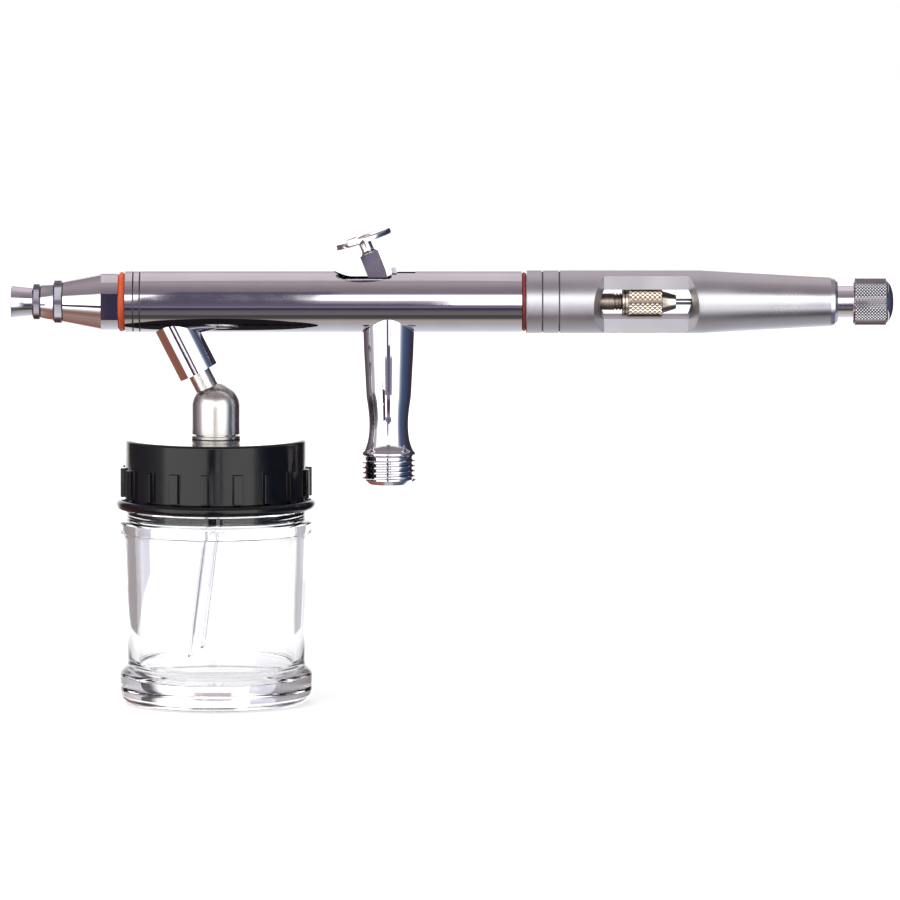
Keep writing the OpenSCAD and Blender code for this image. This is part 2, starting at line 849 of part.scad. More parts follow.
module rocker_lever() {
    color("silver")
        difference() {
            translate([rocker_x, 0, rocker_z]) {
                rotate([90, 0, 0])
                    cylinder(r = rocker_foot_r, h = rocker_w, center = true);
                rotate([0, -rocker_lean, 0]) {
                    translate([-rocker_t / 2, -rocker_w / 2, 0])
                        cube([rocker_t, rocker_w, rocker_len]);
                    translate([0, -rocker_w / 2, lobe_rise - lobe_r])
                        cube([0.95, rocker_w, 2 * lobe_r]);
                    translate([0.95, 0, lobe_rise])
                        rotate([90, 0, 0])
                            cylinder(r = lobe_r, h = rocker_w, center = true);
                }
            }
            translate([-2, -needle_d / 2 - 0.2, barrel_z - 1.4])
                cube([8, needle_d + 0.4, 2.5]);
        }
}

module needle() {
    color("silver")
        turned([
            [0, tip_x],
            [0.03, tip_x],
            [orifice_r - touch, nozzle_tip_x],
            [needle_d / 2, tip_x + needle_taper],
            [needle_d / 2, needle_rear - 0.3],
            [needle_d / 2 - 0.2, needle_rear],
            [0, needle_rear]
        ]);
}

module needle_chuck() {
    guide_r = guide_d / 2;
    color("silver")
        difference() {
            turned([
                [needle_d / 2 + running_gap, flange_x],
                [guide_flange_d / 2, flange_x],
                [guide_flange_d / 2, flange_x + flange_t],
                [guide_r, flange_x + flange_t],
                [guide_r, guide_rear],
                [guide_thread_d / 2, guide_rear],
                [guide_thread_d / 2, nut_knurl_x],
                [collet_d / 2, nut_knurl_x],
                [collet_d / 2, nut_rear_x],
                [needle_d / 2 + running_gap, nut_rear_x]
            ]);
            for (a = [0, 90])
                translate([nut_knurl_x + 1, 0, barrel_z])
                    rotate([a, 0, 0])
                        translate([0, -0.12, -guide_d])
                            cube([nut_len, 0.24, 2 * guide_d]);
        }
}

module chuck_nut() {
    nut_r = nut_d / 2;
    color("lightgray")
        difference() {
            turned([
                [0, nut_front_x],
                [nut_r - 0.1, nut_front_x],
                [nut_r - 0.03, nut_knurl_x - 0.3],
                [nut_r, nut_knurl_x],
                [nut_r, nut_rear_x - 0.2],
                [nut_r - 0.2, nut_rear_x],
                [nut_cone_r, nut_rear_x],
                [nut_mouth_d / 2, nut_rear_x + nut_cone_len],
                [0, nut_rear_x + nut_cone_len]
            ]);
            bar(nut_bore_d, nut_front_x - eps, nut_rear_x + running_gap);
            bar(needle_d + 2 * running_gap, nut_front_x, nut_rear_x + nut_cone_len + eps);
        }
}

module needle_spring() {
    low_x = flange_x + flange_t + touch;
    color("silver")
        translate([low_x, 0, barrel_z])
            rotate([0, 90, 0])
                coil(needle_coil_r, needle_wire, case_rear_x - case_end_t - low_x - touch, needle_coil_turns);
}

module spring_case() {
    color("silver")
        difference() {
            bar(case_d, case_front_x, case_rear_x);
            bar(case_d - 2 * case_wall, case_front_x - eps, case_rear_x - case_end_t);
            bar(guide_bore_d, case_front_x, case_rear_x + eps);
            translate([case_rear_x - 0.8, -case_d, barrel_z - 0.5])
                cube([1, 2 * case_d, 1]);
        }
}

module rear_o_ring() {
    color("firebrick")
        seal_ring(tail_d + 2 * handle_seal_w, handle_seal_w - 2 * touch, (barrel_rear + handle_x) / 2);
}

module handle() {
    handle_r = handle_d / 2;
    end_r = handle_end_d / 2;
    color("lightsteelblue")
        translate([0, 0, barrel_z])
            rotate([handle_turn, 0, 0])
                translate([0, 0, -barrel_z])
                    difference() {
                        turned([
                            [0, handle_x],
                            [handle_r - 0.15, handle_x],
                            [handle_r, handle_x + 0.15],
                            [handle_r, handle_x + handle_straight],
                            [end_r, handle_end_x - 1.2],
                            [end_r - 0.15, handle_end_x - 0.5],
                            [end_r - 0.6, handle_end_x],
                            [0, handle_end_x]
                        ]);
                        for (x = [2.8, 5.8])
                            turned([
                                [handle_r - 0.25, handle_x + x],
                                [handle_r + 1, handle_x + x],
                                [handle_r + 1, handle_x + x + 0.25],
                                [handle_r - 0.25, handle_x + x + 0.25]
                            ]);
                        bar(tail_d + 2 * touch, handle_x - eps, barrel_rear + tail_len + 0.3);
                        bar(handle_bore_d, handle_x, handle_wall_x);
                        bar(neck_bore_d, handle_wall_x - eps, handle_end_x + eps);
                        for (side = [-1, 1])
                            window_cut(side);
                    }
}

// One milled flat of the window, between two leaning end walls
module window_cut(side) {
    flat_y = window_flats / 2;
    slope = window_lean / (handle_d / 2 - flat_y);
    translate([window_x, 0, barrel_z - handle_d])
        mirror([0, side > 0 ? 0 : 1, 0])
            linear_extrude(height = 2 * handle_d)
                polygon([
                    [window_lean, flat_y],
                    [window_len - window_lean, flat_y],
                    [window_len - window_lean + slope * handle_d, flat_y + handle_d],
                    [window_lean - slope * handle_d, flat_y + handle_d]
                ]);
}

module preset_knob() {
    knob_r = knob_d / 2;
    neck_r = knob_neck_d / 2;
    neck_front_x = handle_wall_x + preset_travel + 0.3;
    color("silver")
        difference() {
            turned([
                [0, stop_x],
                [stop_d / 2 - 0.2, stop_x],
                [stop_d / 2, stop_x + 0.3],
                [stop_d / 2, neck_front_x],
                [neck_r, neck_front_x],
                [neck_r, knob_x],
                [knob_r - 0.3, knob_x],
                [knob_r, knob_x + 0.3],
                [knob_r, knob_rear_x - 0.3],
                [knob_r - 0.5, knob_rear_x],
                [knob_r - 1.1, knob_rear_x + 0.7],
                [1.6, knob_rear_x + 1.2],
                [0, knob_rear_x + 1.35]
            ]);
            knob_groove();
        }
}

module knob_groove() {
    turned([
        [knob_groove_d / 2, knob_ring_x],
        [knob_neck_d, knob_ring_x],
        [knob_neck_d, knob_ring_x + knob_ring_t],
        [knob_groove_d / 2, knob_ring_x + knob_ring_t]
    ]);
}

module knob_o_ring() {
    ring_r = knob_neck_d / 2;
    color("black")
        turned([
            [knob_groove_d / 2 + touch, knob_ring_x + touch],
            [ring_r, knob_ring_x + touch],
            [ring_r, knob_ring_x + knob_ring_t - touch],
            [knob_groove_d / 2 + touch, knob_ring_x + knob_ring_t - touch]
        ]);
}

module bottle_spigot() {
    top = stem_len - socket_depth + free_gap;
    color("silver")
        difference() {
            down_stem(top)
                cylinder(d = spigot_d, h = spigot_reach - top);
            down_stem(top - eps)
                cylinder(d = spigot_bore_d, h = spigot_reach);
        }
}

// The elbow's solid outline: a straight body under a dome with a round shoulder
module elbow_outline() {
    r = elbow_d / 2;
    shoulder = 4.1;
    h = dome_z - seam_z;
    square([r, h - shoulder]);
    square([r - shoulder, h]);
    translate([r - shoulder, h - shoulder])
        intersection() {
            circle(r = shoulder);
            square([shoulder, shoulder]);
        }
}

module bottle_elbow() {
    color("silver")
        difference() {
            union() {
                translate([bottle_x, 0, seam_z])
                    rotate_extrude()
                        elbow_outline();
                translate([bottle_x, 0, nipple_low_z])
                    cylinder(d = nipple_d, h = seam_z - nipple_low_z + eps);
            }
            down_stem(0)
                cylinder(d = spigot_d + 2 * running_gap, h = spigot_reach + running_gap);
            translate([bottle_x, 0, nipple_low_z - eps])
                cylinder(d = spigot_bore_d, h = joint_z - nipple_low_z);
            translate([bottle_x, 0, nipple_low_z - eps])
                cylinder(d = tube_d + 2 * touch, h = tube_seat + eps);
        }
}

module elbow_collar() {
    color("silver")
        translate([bottle_x, 0, cap_z + touch])
            difference() {
                cylinder(d = elbow_d + 0.1, h = collar_h - 2 * touch);
                translate([0, 0, -eps])
                    cylinder(d = nipple_d + 2 * touch, h = collar_h + 1);
            }
}

module cap_nut() {
    color("silver")
        translate([bottle_x, 0, nut_low_z])
            difference() {
                cylinder(d = cap_nut_af / cos(30), h = cap_nut_h - touch, $fn = 6);
                translate([0, 0, -eps])
                    cylinder(d = nipple_d + 2 * touch, h = cap_nut_h + 1, $fn = 48);
            }
}

module bottle_cap() {
    cap_r = cap_d / 2;
    bead_r = bead_h / 2;
    color("#1b1a1e")
        translate([bottle_x, 0, cap_low_z])
            difference() {
                union() {
                    rotate_extrude()
                        polygon([
                            [0, 0],
                            [bead_d / 2 - bead_r, 0],
                            [bead_d / 2 - bead_r, bead_h],
                            [cap_r, bead_h],
                            [cap_r, cap_h - 0.4],
                            [cap_r - 0.4, cap_h],
                            [0, cap_h]
                        ]);
                    rotate_extrude()
                        translate([bead_d / 2 - bead_r, bead_r])
                            circle(r = bead_r);
                    for (i = [0 : rib_count - 1])
                        rotate([0, 0, 360 * i / rib_count - rib_turn])
                            translate([cap_r - 1, -rib_w / 2, bead_h - eps])
                                cube([rib_d / 2 - cap_r + 1, rib_w, cap_h - bead_h - rib_start]);
                }
                translate([0, 0, -eps])
                    cylinder(d = cap_bore, h = cap_h - cap_top_t + eps);
                cylinder(d = nipple_d + 2 * touch, h = cap_h + 1);
            }
}

module cap_liner() {
    color("white")
        translate([bottle_x, 0, cap_under_z - liner_t])
            difference() {
                cylinder(d = jar_neck_d, h = liner_t - touch);
                translate([0, 0, -eps])
                    cylinder(d = jar_mouth_d - 3, h = liner_t + 1);
            }
}

module siphon_tube() {
    bend_top_z = nipple_low_z - 1;
    top_z = nipple_low_z + tube_seat - touch;
    bend_dx = tube_bend_r * (1 - cos(tube_tilt));
    bend_dz = tube_bend_r * sin(tube_tilt);
    end_trim = 2.4;
    color("white")
        translate([bottle_x, 0, bend_top_z])
            difference() {
                union() {
                    tube_piece(0, top_z - bend_top_z);
                    translate([-tube_bend_r, 0, 0])
                        rotate([-90, 0, 0])
                            rotate_extrude(angle = tube_tilt)
                                translate([tube_bend_r, 0])
                                    tube_section();
                    translate([-bend_dx, 0, -bend_dz])
                        rotate([0, tube_tilt, 0])
                            tube_piece(-tube_len, 0);
                }
                translate([-bend_dx, 0, -bend_dz])
                    rotate([0, tube_tilt, 0])
                        translate([-5, -tube_cut[1] / 2, -tube_len - 8 + end_trim / 2])
                            rotate([0, -tube_cut_tilt, 0])
                                cube(tube_cut);
            }
}

module tube_section() {
    difference() {
        circle(d = tube_d);
        circle(d = tube_bore);
    }
}

module tube_piece(z_low, z_high) {
    translate([0, 0, z_low])
        linear_extrude(z_high - z_low)
            tube_section();
}

// The jar's outside, from its bottom up
module jar_outside() {
    base_r = jar_d / 2;
    top_h = jar_h - ring_drop;
    square([base_r - jar_corner, jar_base_h]);
    translate([0, jar_corner])
        square([base_r, jar_base_h - jar_corner - 0.6]);
    translate([base_r - jar_corner, jar_corner])
        circle(r = jar_corner);
    polygon([
        [0, jar_base_h - 1],
        [base_r, jar_base_h - 0.7],
        [jar_body_low_d / 2, jar_base_h + 1],
        [jar_body_top_d / 2, top_h - 0.6],
        [base_r - 0.1, top_h],
        [base_r - 0.1, top_h + ring_h - 0.6],
        [jar_body_top_d / 2 - 0.5, top_h + ring_h],
        [jar_neck_d / 2, top_h + ring_h + 0.8],
        [jar_neck_d / 2, jar_h - 0.5],
        [jar_neck_d / 2 - 0.5, jar_h],
        [0, jar_h]
    ]);
    translate([0, jar_h - thread_drop])
        square([jar_neck_d / 2 + thread_band_out, thread_band_h]);
}

// The jar's hollow, from its glass floor up
module jar_inside() {
    r = jar_bore / 2;
    corner = 2.5;
    shoulder_h = jar_h - hollow_drop;
    translate([0, jar_floor + corner])
        square([r, shoulder_h - jar_floor - corner]);
    translate([0, jar_floor])
        square([r - corner, corner + 1]);
    translate([r - corner, jar_floor + corner])
        intersection() {
            circle(r = corner);
            translate([0, -corner])
                square([corner, corner]);
        }
    polygon([
        [0, shoulder_h - eps],
        [r, shoulder_h - eps],
        [r - 0.2, shoulder_h + 1],
        [jar_mouth_d / 2, shoulder_h + 3.4],
        [jar_mouth_d / 2, jar_h + 1],
        [0, jar_h + 1]
    ]);
}

module glass_jar() {
    color("azure", 0.35)
        translate([bottle_x, 0, jar_z])
            rotate_extrude()
                difference() {
                    jar_outside();
                    jar_inside();
                }
}

barrel();
siphon_stem();
front_o_ring();
head();
nozzle_seal();
fluid_nozzle();
nozzle_cap();
needle_cap();
needle_packing();
packing_screw();
valve_body();
valve_screw();
valve_spring();
valve_plunger();
valve_o_ring();
trigger();
rocker_lever();
needle();
needle_chuck();
chuck_nut();
needle_spring();
spring_case();
rear_o_ring();
handle();
preset_knob();
knob_o_ring();
bottle_spigot();
bottle_elbow();
elbow_collar();
cap_nut();
bottle_cap();
cap_liner();
siphon_tube();
glass_jar();
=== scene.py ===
# %% [markdown]
# # A double-action airbrush with a siphon bottle
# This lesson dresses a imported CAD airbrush. The CAD solids give every size and place. Blender adds what the
# eye wants: rolled knurls, a real screw thread, rounded edges, clear glass and the finishes.
# A chromed tool looks like the room round it, so the last cells build a small photo studio.
# The length unit is the metre, +X runs from the nozzle to the preset knob, +Z is up and -Y faces the camera.

# %% Load the frame
import json
import math
from contextlib import contextmanager

import bmesh
import bpy
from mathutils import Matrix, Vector
from mathutils.bvhtree import BVHTree


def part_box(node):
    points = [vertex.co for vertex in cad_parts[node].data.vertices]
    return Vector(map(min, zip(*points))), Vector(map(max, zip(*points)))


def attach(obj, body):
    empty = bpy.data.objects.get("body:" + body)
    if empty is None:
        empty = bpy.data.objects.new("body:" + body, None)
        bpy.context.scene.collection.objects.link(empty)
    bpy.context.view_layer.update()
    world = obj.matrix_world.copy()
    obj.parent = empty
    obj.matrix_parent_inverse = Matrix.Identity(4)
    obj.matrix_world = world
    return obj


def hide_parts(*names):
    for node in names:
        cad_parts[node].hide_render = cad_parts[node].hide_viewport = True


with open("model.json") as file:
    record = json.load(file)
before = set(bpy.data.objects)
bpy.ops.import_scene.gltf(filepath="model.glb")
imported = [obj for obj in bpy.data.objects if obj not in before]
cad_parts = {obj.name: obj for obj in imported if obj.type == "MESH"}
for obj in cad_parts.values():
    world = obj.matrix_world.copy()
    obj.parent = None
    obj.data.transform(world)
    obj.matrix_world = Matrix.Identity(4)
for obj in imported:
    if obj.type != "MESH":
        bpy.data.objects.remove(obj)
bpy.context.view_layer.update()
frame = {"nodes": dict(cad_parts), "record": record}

nodes = frame["nodes"]
MM = 0.001

# %% [markdown]
# ## Places
# Each station comes from the box of a CAD node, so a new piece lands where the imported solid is.
# The barrel's axis is the middle of the barrel's box, and the bottle's axis is the middle of the jar's.

# %% Places from the CAD boxes
def low(node):
    """Lowest corner of a CAD node, in mm."""
    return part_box(node)[0] / MM


def high(node):
    """Highest corner of a CAD node, in mm."""
    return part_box(node)[1] / MM


def span(node, axis):
    """Both ends of a CAD node along one axis, in mm."""
    return getattr(low(node), axis), getattr(high(node), axis)


def half_width(node, axis="z"):
    """Half of a CAD node's width along one axis, in mm."""
    start, end = span(node, axis)
    return (end - start) / 2


AXIS_Z = sum(span("preset_knob", "z")) / 2
BOTTLE_X = sum(span("glass_jar", "x")) / 2
THREAD_TOP_R = half_width("valve_body", "x")
print("barrel axis height", round(AXIS_Z, 2), "bottle axis", round(BOTTLE_X, 2))
print("hose thread radius", round(THREAD_TOP_R, 3))

# %% [markdown]
# ## Camera and image points
# The photograph was taken from well back with a long lens, level with the barrel and tipped down a little.
# The points below were read off it in pixels, from its top left corner, and they settled the camera by aim
# alone. One is moved: the siphon tube's end stands where the CAD tube ends, which is a little higher than in
# the photograph. Edges are the first or last column or row of the thing. A middle is that of what shows.

# %% Camera and image points
DISTANCE, ELEVATION, LENS, SENSOR, FRAME = 1.6, 5.3, 358.4, 36.0, 900
AIM = Vector((10.96, 0, 4.71)) * MM
EDGES = {
    "object_left": 12.5, "object_right": 893.7, "object_top": 225.8, "object_bottom": 709.5,
    "trigger_pad_left": 335.0, "chuck_nut_left": 621.8, "preset_knob_bottom": 326.0, "bottle_elbow_top": 383.0,
    "bottle_cap_left": 116.5, "bottle_cap_right": 312.5, "glass_jar_left": 120.0, "glass_jar_right": 316.0,
    "siphon_tube_bottom": 660.0,
}
MIDDLES = {
    "orange_ring": (121.3, 300.1), "red_ring": (524.0, 300.0), "bottle_elbow": (215.0, 409.5),
    "preset_knob": (872.7, 302.4),
}
GROOVES = {"barrel_groove": (133.0, 300.0), "handle_groove": (541.5, 300.0)}
tilt = math.radians(ELEVATION)
camera_data = bpy.data.cameras.new("studio_camera")
camera_data.sensor_fit = "AUTO"
camera_data.sensor_width = SENSOR
camera_data.lens = LENS
camera_data.clip_start, camera_data.clip_end = 0.1, 20
camera = bpy.data.objects.new("studio_camera", camera_data)
bpy.context.scene.collection.objects.link(camera)
camera.location = AIM + Vector((0, -math.cos(tilt), math.sin(tilt))) * DISTANCE
camera.rotation_euler = (math.radians(90 - ELEVATION), 0, 0)
bpy.context.scene.camera = camera
print("camera at", [round(c, 3) for c in camera.location])
print("image points:", len(EDGES) + len(MIDDLES) + len(GROOVES))

# %% [markdown]
# ## From a pixel to a place and back
# A pixel is a ray from the camera. Where that ray meets the finished surface is the place that the pixel
# shows. The other way round, a place is divided by its depth, and it shows if nothing stands between it and
# the camera.

# %% Rays
turned = camera.rotation_euler.to_matrix()


def carrier(pieces):
    """A search tree of the pieces as finished and placed."""
    vertices, faces = [], []
    for piece in pieces:
        start = len(vertices)
        vertices += [v.co.copy() for v in piece.data.vertices]
        faces += [[start + i for i in polygon.vertices] for polygon in piece.data.polygons]
    return BVHTree.FromPolygons(vertices, faces)


def place_on(tree, x, y):
    """The place on the carried surface that shows at a pixel. A miss takes the place nearest the ray."""
    way = (turned @ Vector((x - FRAME / 2, FRAME / 2 - y, -FRAME * LENS / SENSOR))).normalized()
    hit = tree.ray_cast(camera.location, way)[0]
    if hit is None:
        steps = [camera.location + way * (DISTANCE + i * MM) for i in range(-120, 121)]
        hit = min((tree.find_nearest(step) for step in steps), key=lambda found: found[3])[0]
    return hit


def pixel_of(place):
    """The pixel at which a place shows."""
    seen = turned.transposed() @ (place - camera.location)
    size = FRAME * LENS / SENSOR / -seen.z
    return FRAME / 2 + seen.x * size, FRAME / 2 - seen.y * size


def shown_pixels(pieces, blockers):
    """Pixels of the pieces' vertices that nothing hides, as two lists."""
    across, down, skin = [], [], 0.3 * MM
    for piece in pieces:
        for vertex in piece.data.vertices:
            way = vertex.co - camera.location
            hit = blockers.ray_cast(camera.location, way.normalized())
            if hit[0] is None or hit[3] > way.length - skin:
                x, y = pixel_of(vertex.co)
                across.append(x)
                down.append(y)
    return across, down


aimed_at = camera.location + turned @ Vector((0, 0, -DISTANCE))
print("the frame's middle looks at", [round(c / MM, 1) for c in aimed_at])

# %% [markdown]
# ## Bench tools
# An operator works on all that is selected, and the frame arrives selected, so every step clears the
# selection first. Faces and edges are then picked in code by where they are. These few helpers stand for the
# hand that clicks.

# %% Selection helpers
def only(piece):
    """Selects one object alone and makes it the active one."""
    bpy.ops.object.select_all(action="DESELECT")
    piece.select_set(True)
    bpy.context.view_layer.objects.active = piece
    return piece


@contextmanager
def editing(piece):
    """Opens one piece in edit mode with all of it selected, and closes it again."""
    only(piece)
    bpy.ops.object.mode_set(mode="EDIT")
    bpy.ops.mesh.select_all(action="SELECT")
    yield
    bpy.ops.object.mode_set(mode="OBJECT")


def pick(piece, kind, test):
    """In edit mode, selects the vertices, edges or faces that pass the test."""
    bpy.ops.mesh.select_mode(type=kind)
    bpy.ops.mesh.select_all(action="DESELECT")
    mesh = bmesh.from_edit_mesh(piece.data)
    parts = {"VERT": mesh.verts, "EDGE": mesh.edges, "FACE": mesh.faces}[kind]
    count = 0
    for part in parts:
        if test(part):
            part.select_set(True)
            count += 1
    mesh.select_flush_mode()
    bmesh.update_edit_mesh(piece.data)
    return count


def finish_shape(piece, angle=30):
    """Merges doubles, turns the faces outwards and shades smooth up to an angle in degrees."""
    with editing(piece):
        bpy.ops.mesh.remove_doubles(threshold=1e-7)
        bpy.ops.mesh.normals_make_consistent(inside=False)
    bpy.ops.object.shade_smooth_by_angle(angle=math.radians(angle))
    return piece


def apply_modifier(piece, kind, **settings):
    """Adds a modifier with its settings and applies it."""
    only(piece)
    modifier = piece.modifiers.new(kind.title(), kind)
    for name, value in settings.items():
        setattr(modifier, name, value)
    bpy.ops.object.modifier_apply(modifier=modifier.name)
    return piece


def place(piece, x, y, z, turn_y=0.0):
    """Turns a piece about Y, moves it to a place in mm, and puts that place into its mesh."""
    only(piece)
    piece.rotation_euler = (0, math.radians(turn_y), 0)
    piece.location = (x * MM, y * MM, z * MM)
    bpy.ops.object.transform_apply(location=True, rotation=True, scale=True)
    return piece


def join(body, *others):
    """Joins the others into the body."""
    only(body)
    for other in others:
        other.select_set(True)
    bpy.ops.object.join()
    return body


# %% [markdown]
# ## Turning on a lathe
# Most of this tool is turned. A circle is the cut's first ring, and each next ring is an extrusion of it,
# moved along the axis and scaled. That is how a lathe part is modelled by hand, and the rings stay neat
# quads. A radius of zero closes the end in a pole. A closed outline that goes out and back in makes a hollow
# piece.

# %% Lathe helper
def turn_piece(name, outline, sides=96, closed=True):
    """Turns an outline of (radius, height) in mm about Z. A closed outline joins its last ring to its first."""
    rings = list(outline) + ([outline[0]] if closed else [])
    tiny = 0.002
    bpy.ops.object.select_all(action="DESELECT")
    first_r, first_h = rings[0]
    bpy.ops.mesh.primitive_circle_add(vertices=sides, radius=max(first_r, tiny) * MM, fill_type="NOTHING")
    piece = bpy.context.object
    piece.name = piece.data.name = name
    place(piece, 0, 0, first_h)
    with editing(piece):
        for (r_from, h_from), (r_to, h_to) in zip(rings, rings[1:]):
            scale = max(r_to, tiny) / max(r_from, tiny)
            bpy.ops.mesh.extrude_edges_move(TRANSFORM_OT_translate={"value": (0, 0, (h_to - h_from) * MM)})
            bpy.ops.transform.resize(value=(scale, scale, 1), center_override=(0, 0, h_to * MM))
        if rings[-1][0] == 0:
            bpy.ops.mesh.merge(type="CENTER")
        if first_r == 0:
            pick(piece, "VERT", lambda v: abs(v.co.z - first_h * MM) < 1e-8 and v.co.xy.length < 2 * tiny * MM)
            bpy.ops.mesh.merge(type="CENTER")
    return finish_shape(piece)


def along(start, points):
    """Shifts points of (radius, height) by a start height, so that a row of them reads from one edge."""
    return [(r, start + h) for r, h in points]


def arc(r_mid, h_mid, radius, start, end, steps=6):
    """Points of a round edge in an outline: its centre, radius and angles in degrees."""
    angles = [math.radians(start + (end - start) * i / steps) for i in range(steps + 1)]
    return [(r_mid + radius * math.cos(a), h_mid + radius * math.sin(a)) for a in angles]


def on_barrel(piece):
    """Lays a piece turned about Z onto the barrel's axis, so its heights become X stations."""
    return place(piece, 0, 0, AXIS_Z, turn_y=90)


# %% [markdown]
# ## Rolling a diamond knurl
# A knurl is pressed in by two crossing wheels, so its raised points are little pyramids on a diamond grid.
# The trick by hand: poke every quad of a sleeve flat, dissolve the old square edges, and diamonds are left.
# Poking the diamonds again, this time outwards, raises one pyramid on each. It needs few faces, and it is
# shaded flat, because each side of a pyramid is a small mirror of its own.

# %% Knurl helper
def knurled_sleeve(name, radius, start, end, columns, rows, depth):
    """A closed sleeve with a diamond knurl whose points reach the radius. Sizes in mm."""
    root = radius - depth
    step = (end - start) / rows
    wall = [(root, start + step * i) for i in range(rows + 1)]
    outline = [(root - 0.35, start)] + wall + [(root - 0.35, end)]
    sleeve = turn_piece(name, outline, sides=columns)
    chord = math.cos(math.pi / columns)

    def on_band(face):
        return face.calc_center_median().xy.length > (root - 0.05) * chord * MM

    def old_square_edge(edge):
        if len(edge.link_faces) != 2 or not all(len(f.verts) == 3 for f in edge.link_faces):
            return False
        grid = [abs((v.co.z / MM - start) / step - round((v.co.z / MM - start) / step)) for v in edge.verts]
        return max(grid) < 0.02

    with editing(sleeve):
        pick(sleeve, "FACE", on_band)
        bpy.ops.mesh.poke(offset=0.0)
        pick(sleeve, "EDGE", old_square_edge)
        bpy.ops.mesh.dissolve_edges(use_verts=False)
        pick(sleeve, "FACE", on_band)
        bpy.ops.mesh.poke(offset=depth * MM, use_relative_offset=False)
    bpy.ops.object.shade_flat()
    return sleeve


# %% [markdown]
# ## Needle cap
# The needle cap is the flared mouth at the very front. It guards the needle's tip, and its fine knurled ring
# lets fingers unscrew it. It is turned in one outline, outside and trumpet inside, and wears a knurled
# sleeve.

# %% Build the needle cap
mouth_x, cap_rear_x = span("needle_cap", "x")
mouth_r = 2.86
needle_ring_x = cap_rear_x - 1.38
ring_r = half_width("needle_cap")
needle_cap = turn_piece("needle_cap_turned", [
    *along(mouth_x, (
        (2.5, 0.08), (2.6, 0), (mouth_r - 0.08, 0), (mouth_r, 0.1), (2.74, 1.0), (2.63, 2.0), (2.55, 3.0))),
    *along(needle_ring_x, ((2.5, -0.12), (2.62, 0), (ring_r - 0.28, 0), (ring_r - 0.12, 0.12))),
    *along(cap_rear_x, ((ring_r - 0.12, -0.12), (ring_r - 0.28, 0), (2.1, 0))),
    *along(mouth_x, ((2.1, 2.35), (1.7, 2.35), (1.95, 1.4))),
])
needle_knurl = knurled_sleeve("needle_cap_knurl", ring_r, needle_ring_x + 0.14, cap_rear_x - 0.14, 40, 3, 0.11)
on_barrel(join(needle_cap, needle_knurl))
print("needle cap from", round(mouth_x, 2), "to", round(cap_rear_x, 2), "faces", len(needle_cap.data.polygons))

# %% [markdown]
# ## Nozzle cap
# Behind it sits the nozzle cap, whose small hole shapes the air round the paint. It is a knurled ring with
# a short cone, and a thin nose that the needle cap screws over.

# %% Build the nozzle cap
nose_x, nozzle_rear_x = span("nozzle_cap", "x")
nozzle_r = half_width("nozzle_cap")
ring_front_x = nozzle_rear_x - 1.73
cone_front_x = cap_rear_x + 0.02
nozzle_cap = turn_piece("nozzle_cap_turned", [
    *along(nozzle_rear_x, ((3.05, 0), (nozzle_r - 0.3, 0), (nozzle_r - 0.12, -0.14))),
    *along(ring_front_x, ((nozzle_r - 0.12, 0.14), (nozzle_r - 0.3, 0), (3.34, 0), (3.27, -0.1))),
    *along(cone_front_x, ((3.0, 0.08), (2.92, 0), (2.05, 0))),
    *along(nose_x, ((2.05, 0.12), (1.93, 0), (0.9, 0), (0.9, 0.8), (1.45, 0.8))),
    *along(cone_front_x, ((1.45, 0.2), (1.9, 0.2))),
    *along(ring_front_x, ((1.9, -0.9), (3.05, -0.9))),
])
nozzle_knurl = knurled_sleeve(
    "nozzle_cap_knurl", nozzle_r, ring_front_x + 0.16, nozzle_rear_x - 0.16, 48, 3, 0.12)
on_barrel(join(nozzle_cap, nozzle_knurl))
print("nozzle cap from", round(nose_x, 2), "to", round(nozzle_rear_x, 2))

# %% [markdown]
# ## Chuck nut
# In the handle's window a knurled nut squeezes the needle's collet. It has a smooth collar, a coarse diamond
# knurl and a cone. The knurl is about 0.9 mm from point to point, which is what a finger can grip.

# %% Build the chuck nut
nut_x, nut_end_x = span("chuck_nut", "x")
nut_r = half_width("chuck_nut")
knurl_x, cone_x = nut_x + 1.1, nut_end_x - 2.5
chuck_nut = turn_piece("chuck_nut_turned", [
    *along(nut_x, (
        (1.55, 0), (nut_r - 0.24, 0), (nut_r - 0.1, 0.12), (nut_r - 0.1, 0.42), (nut_r - 0.26, 0.5),
        (nut_r - 0.26, 0.62), (nut_r - 0.1, 0.7))),
    (nut_r - 0.08, knurl_x - 0.1), (nut_r - 0.2, knurl_x), (nut_r - 0.2, cone_x), (2.12, cone_x),
    (2.02, cone_x + 0.1), (1.28, nut_end_x - 0.06), (1.2, nut_end_x), (0.6, nut_end_x),
    (0.6, cone_x + 0.05), (1.55, cone_x + 0.05),
], sides=72)
nut_knurl = knurled_sleeve("chuck_nut_knurl", nut_r, knurl_x + 0.02, cone_x - 0.02, 22, 7, 0.2)
on_barrel(join(chuck_nut, nut_knurl))
print("chuck nut from", round(nut_x, 2), "to", round(nut_end_x, 2), "radius", round(nut_r, 2))

# %% [markdown]
# ## Preset knob
# The knob at the rear sets how far the needle may open. It is one steel turning: a thin stop rod and a neck
# inside the handle, then a finely knurled grip that ends in a polished dome.

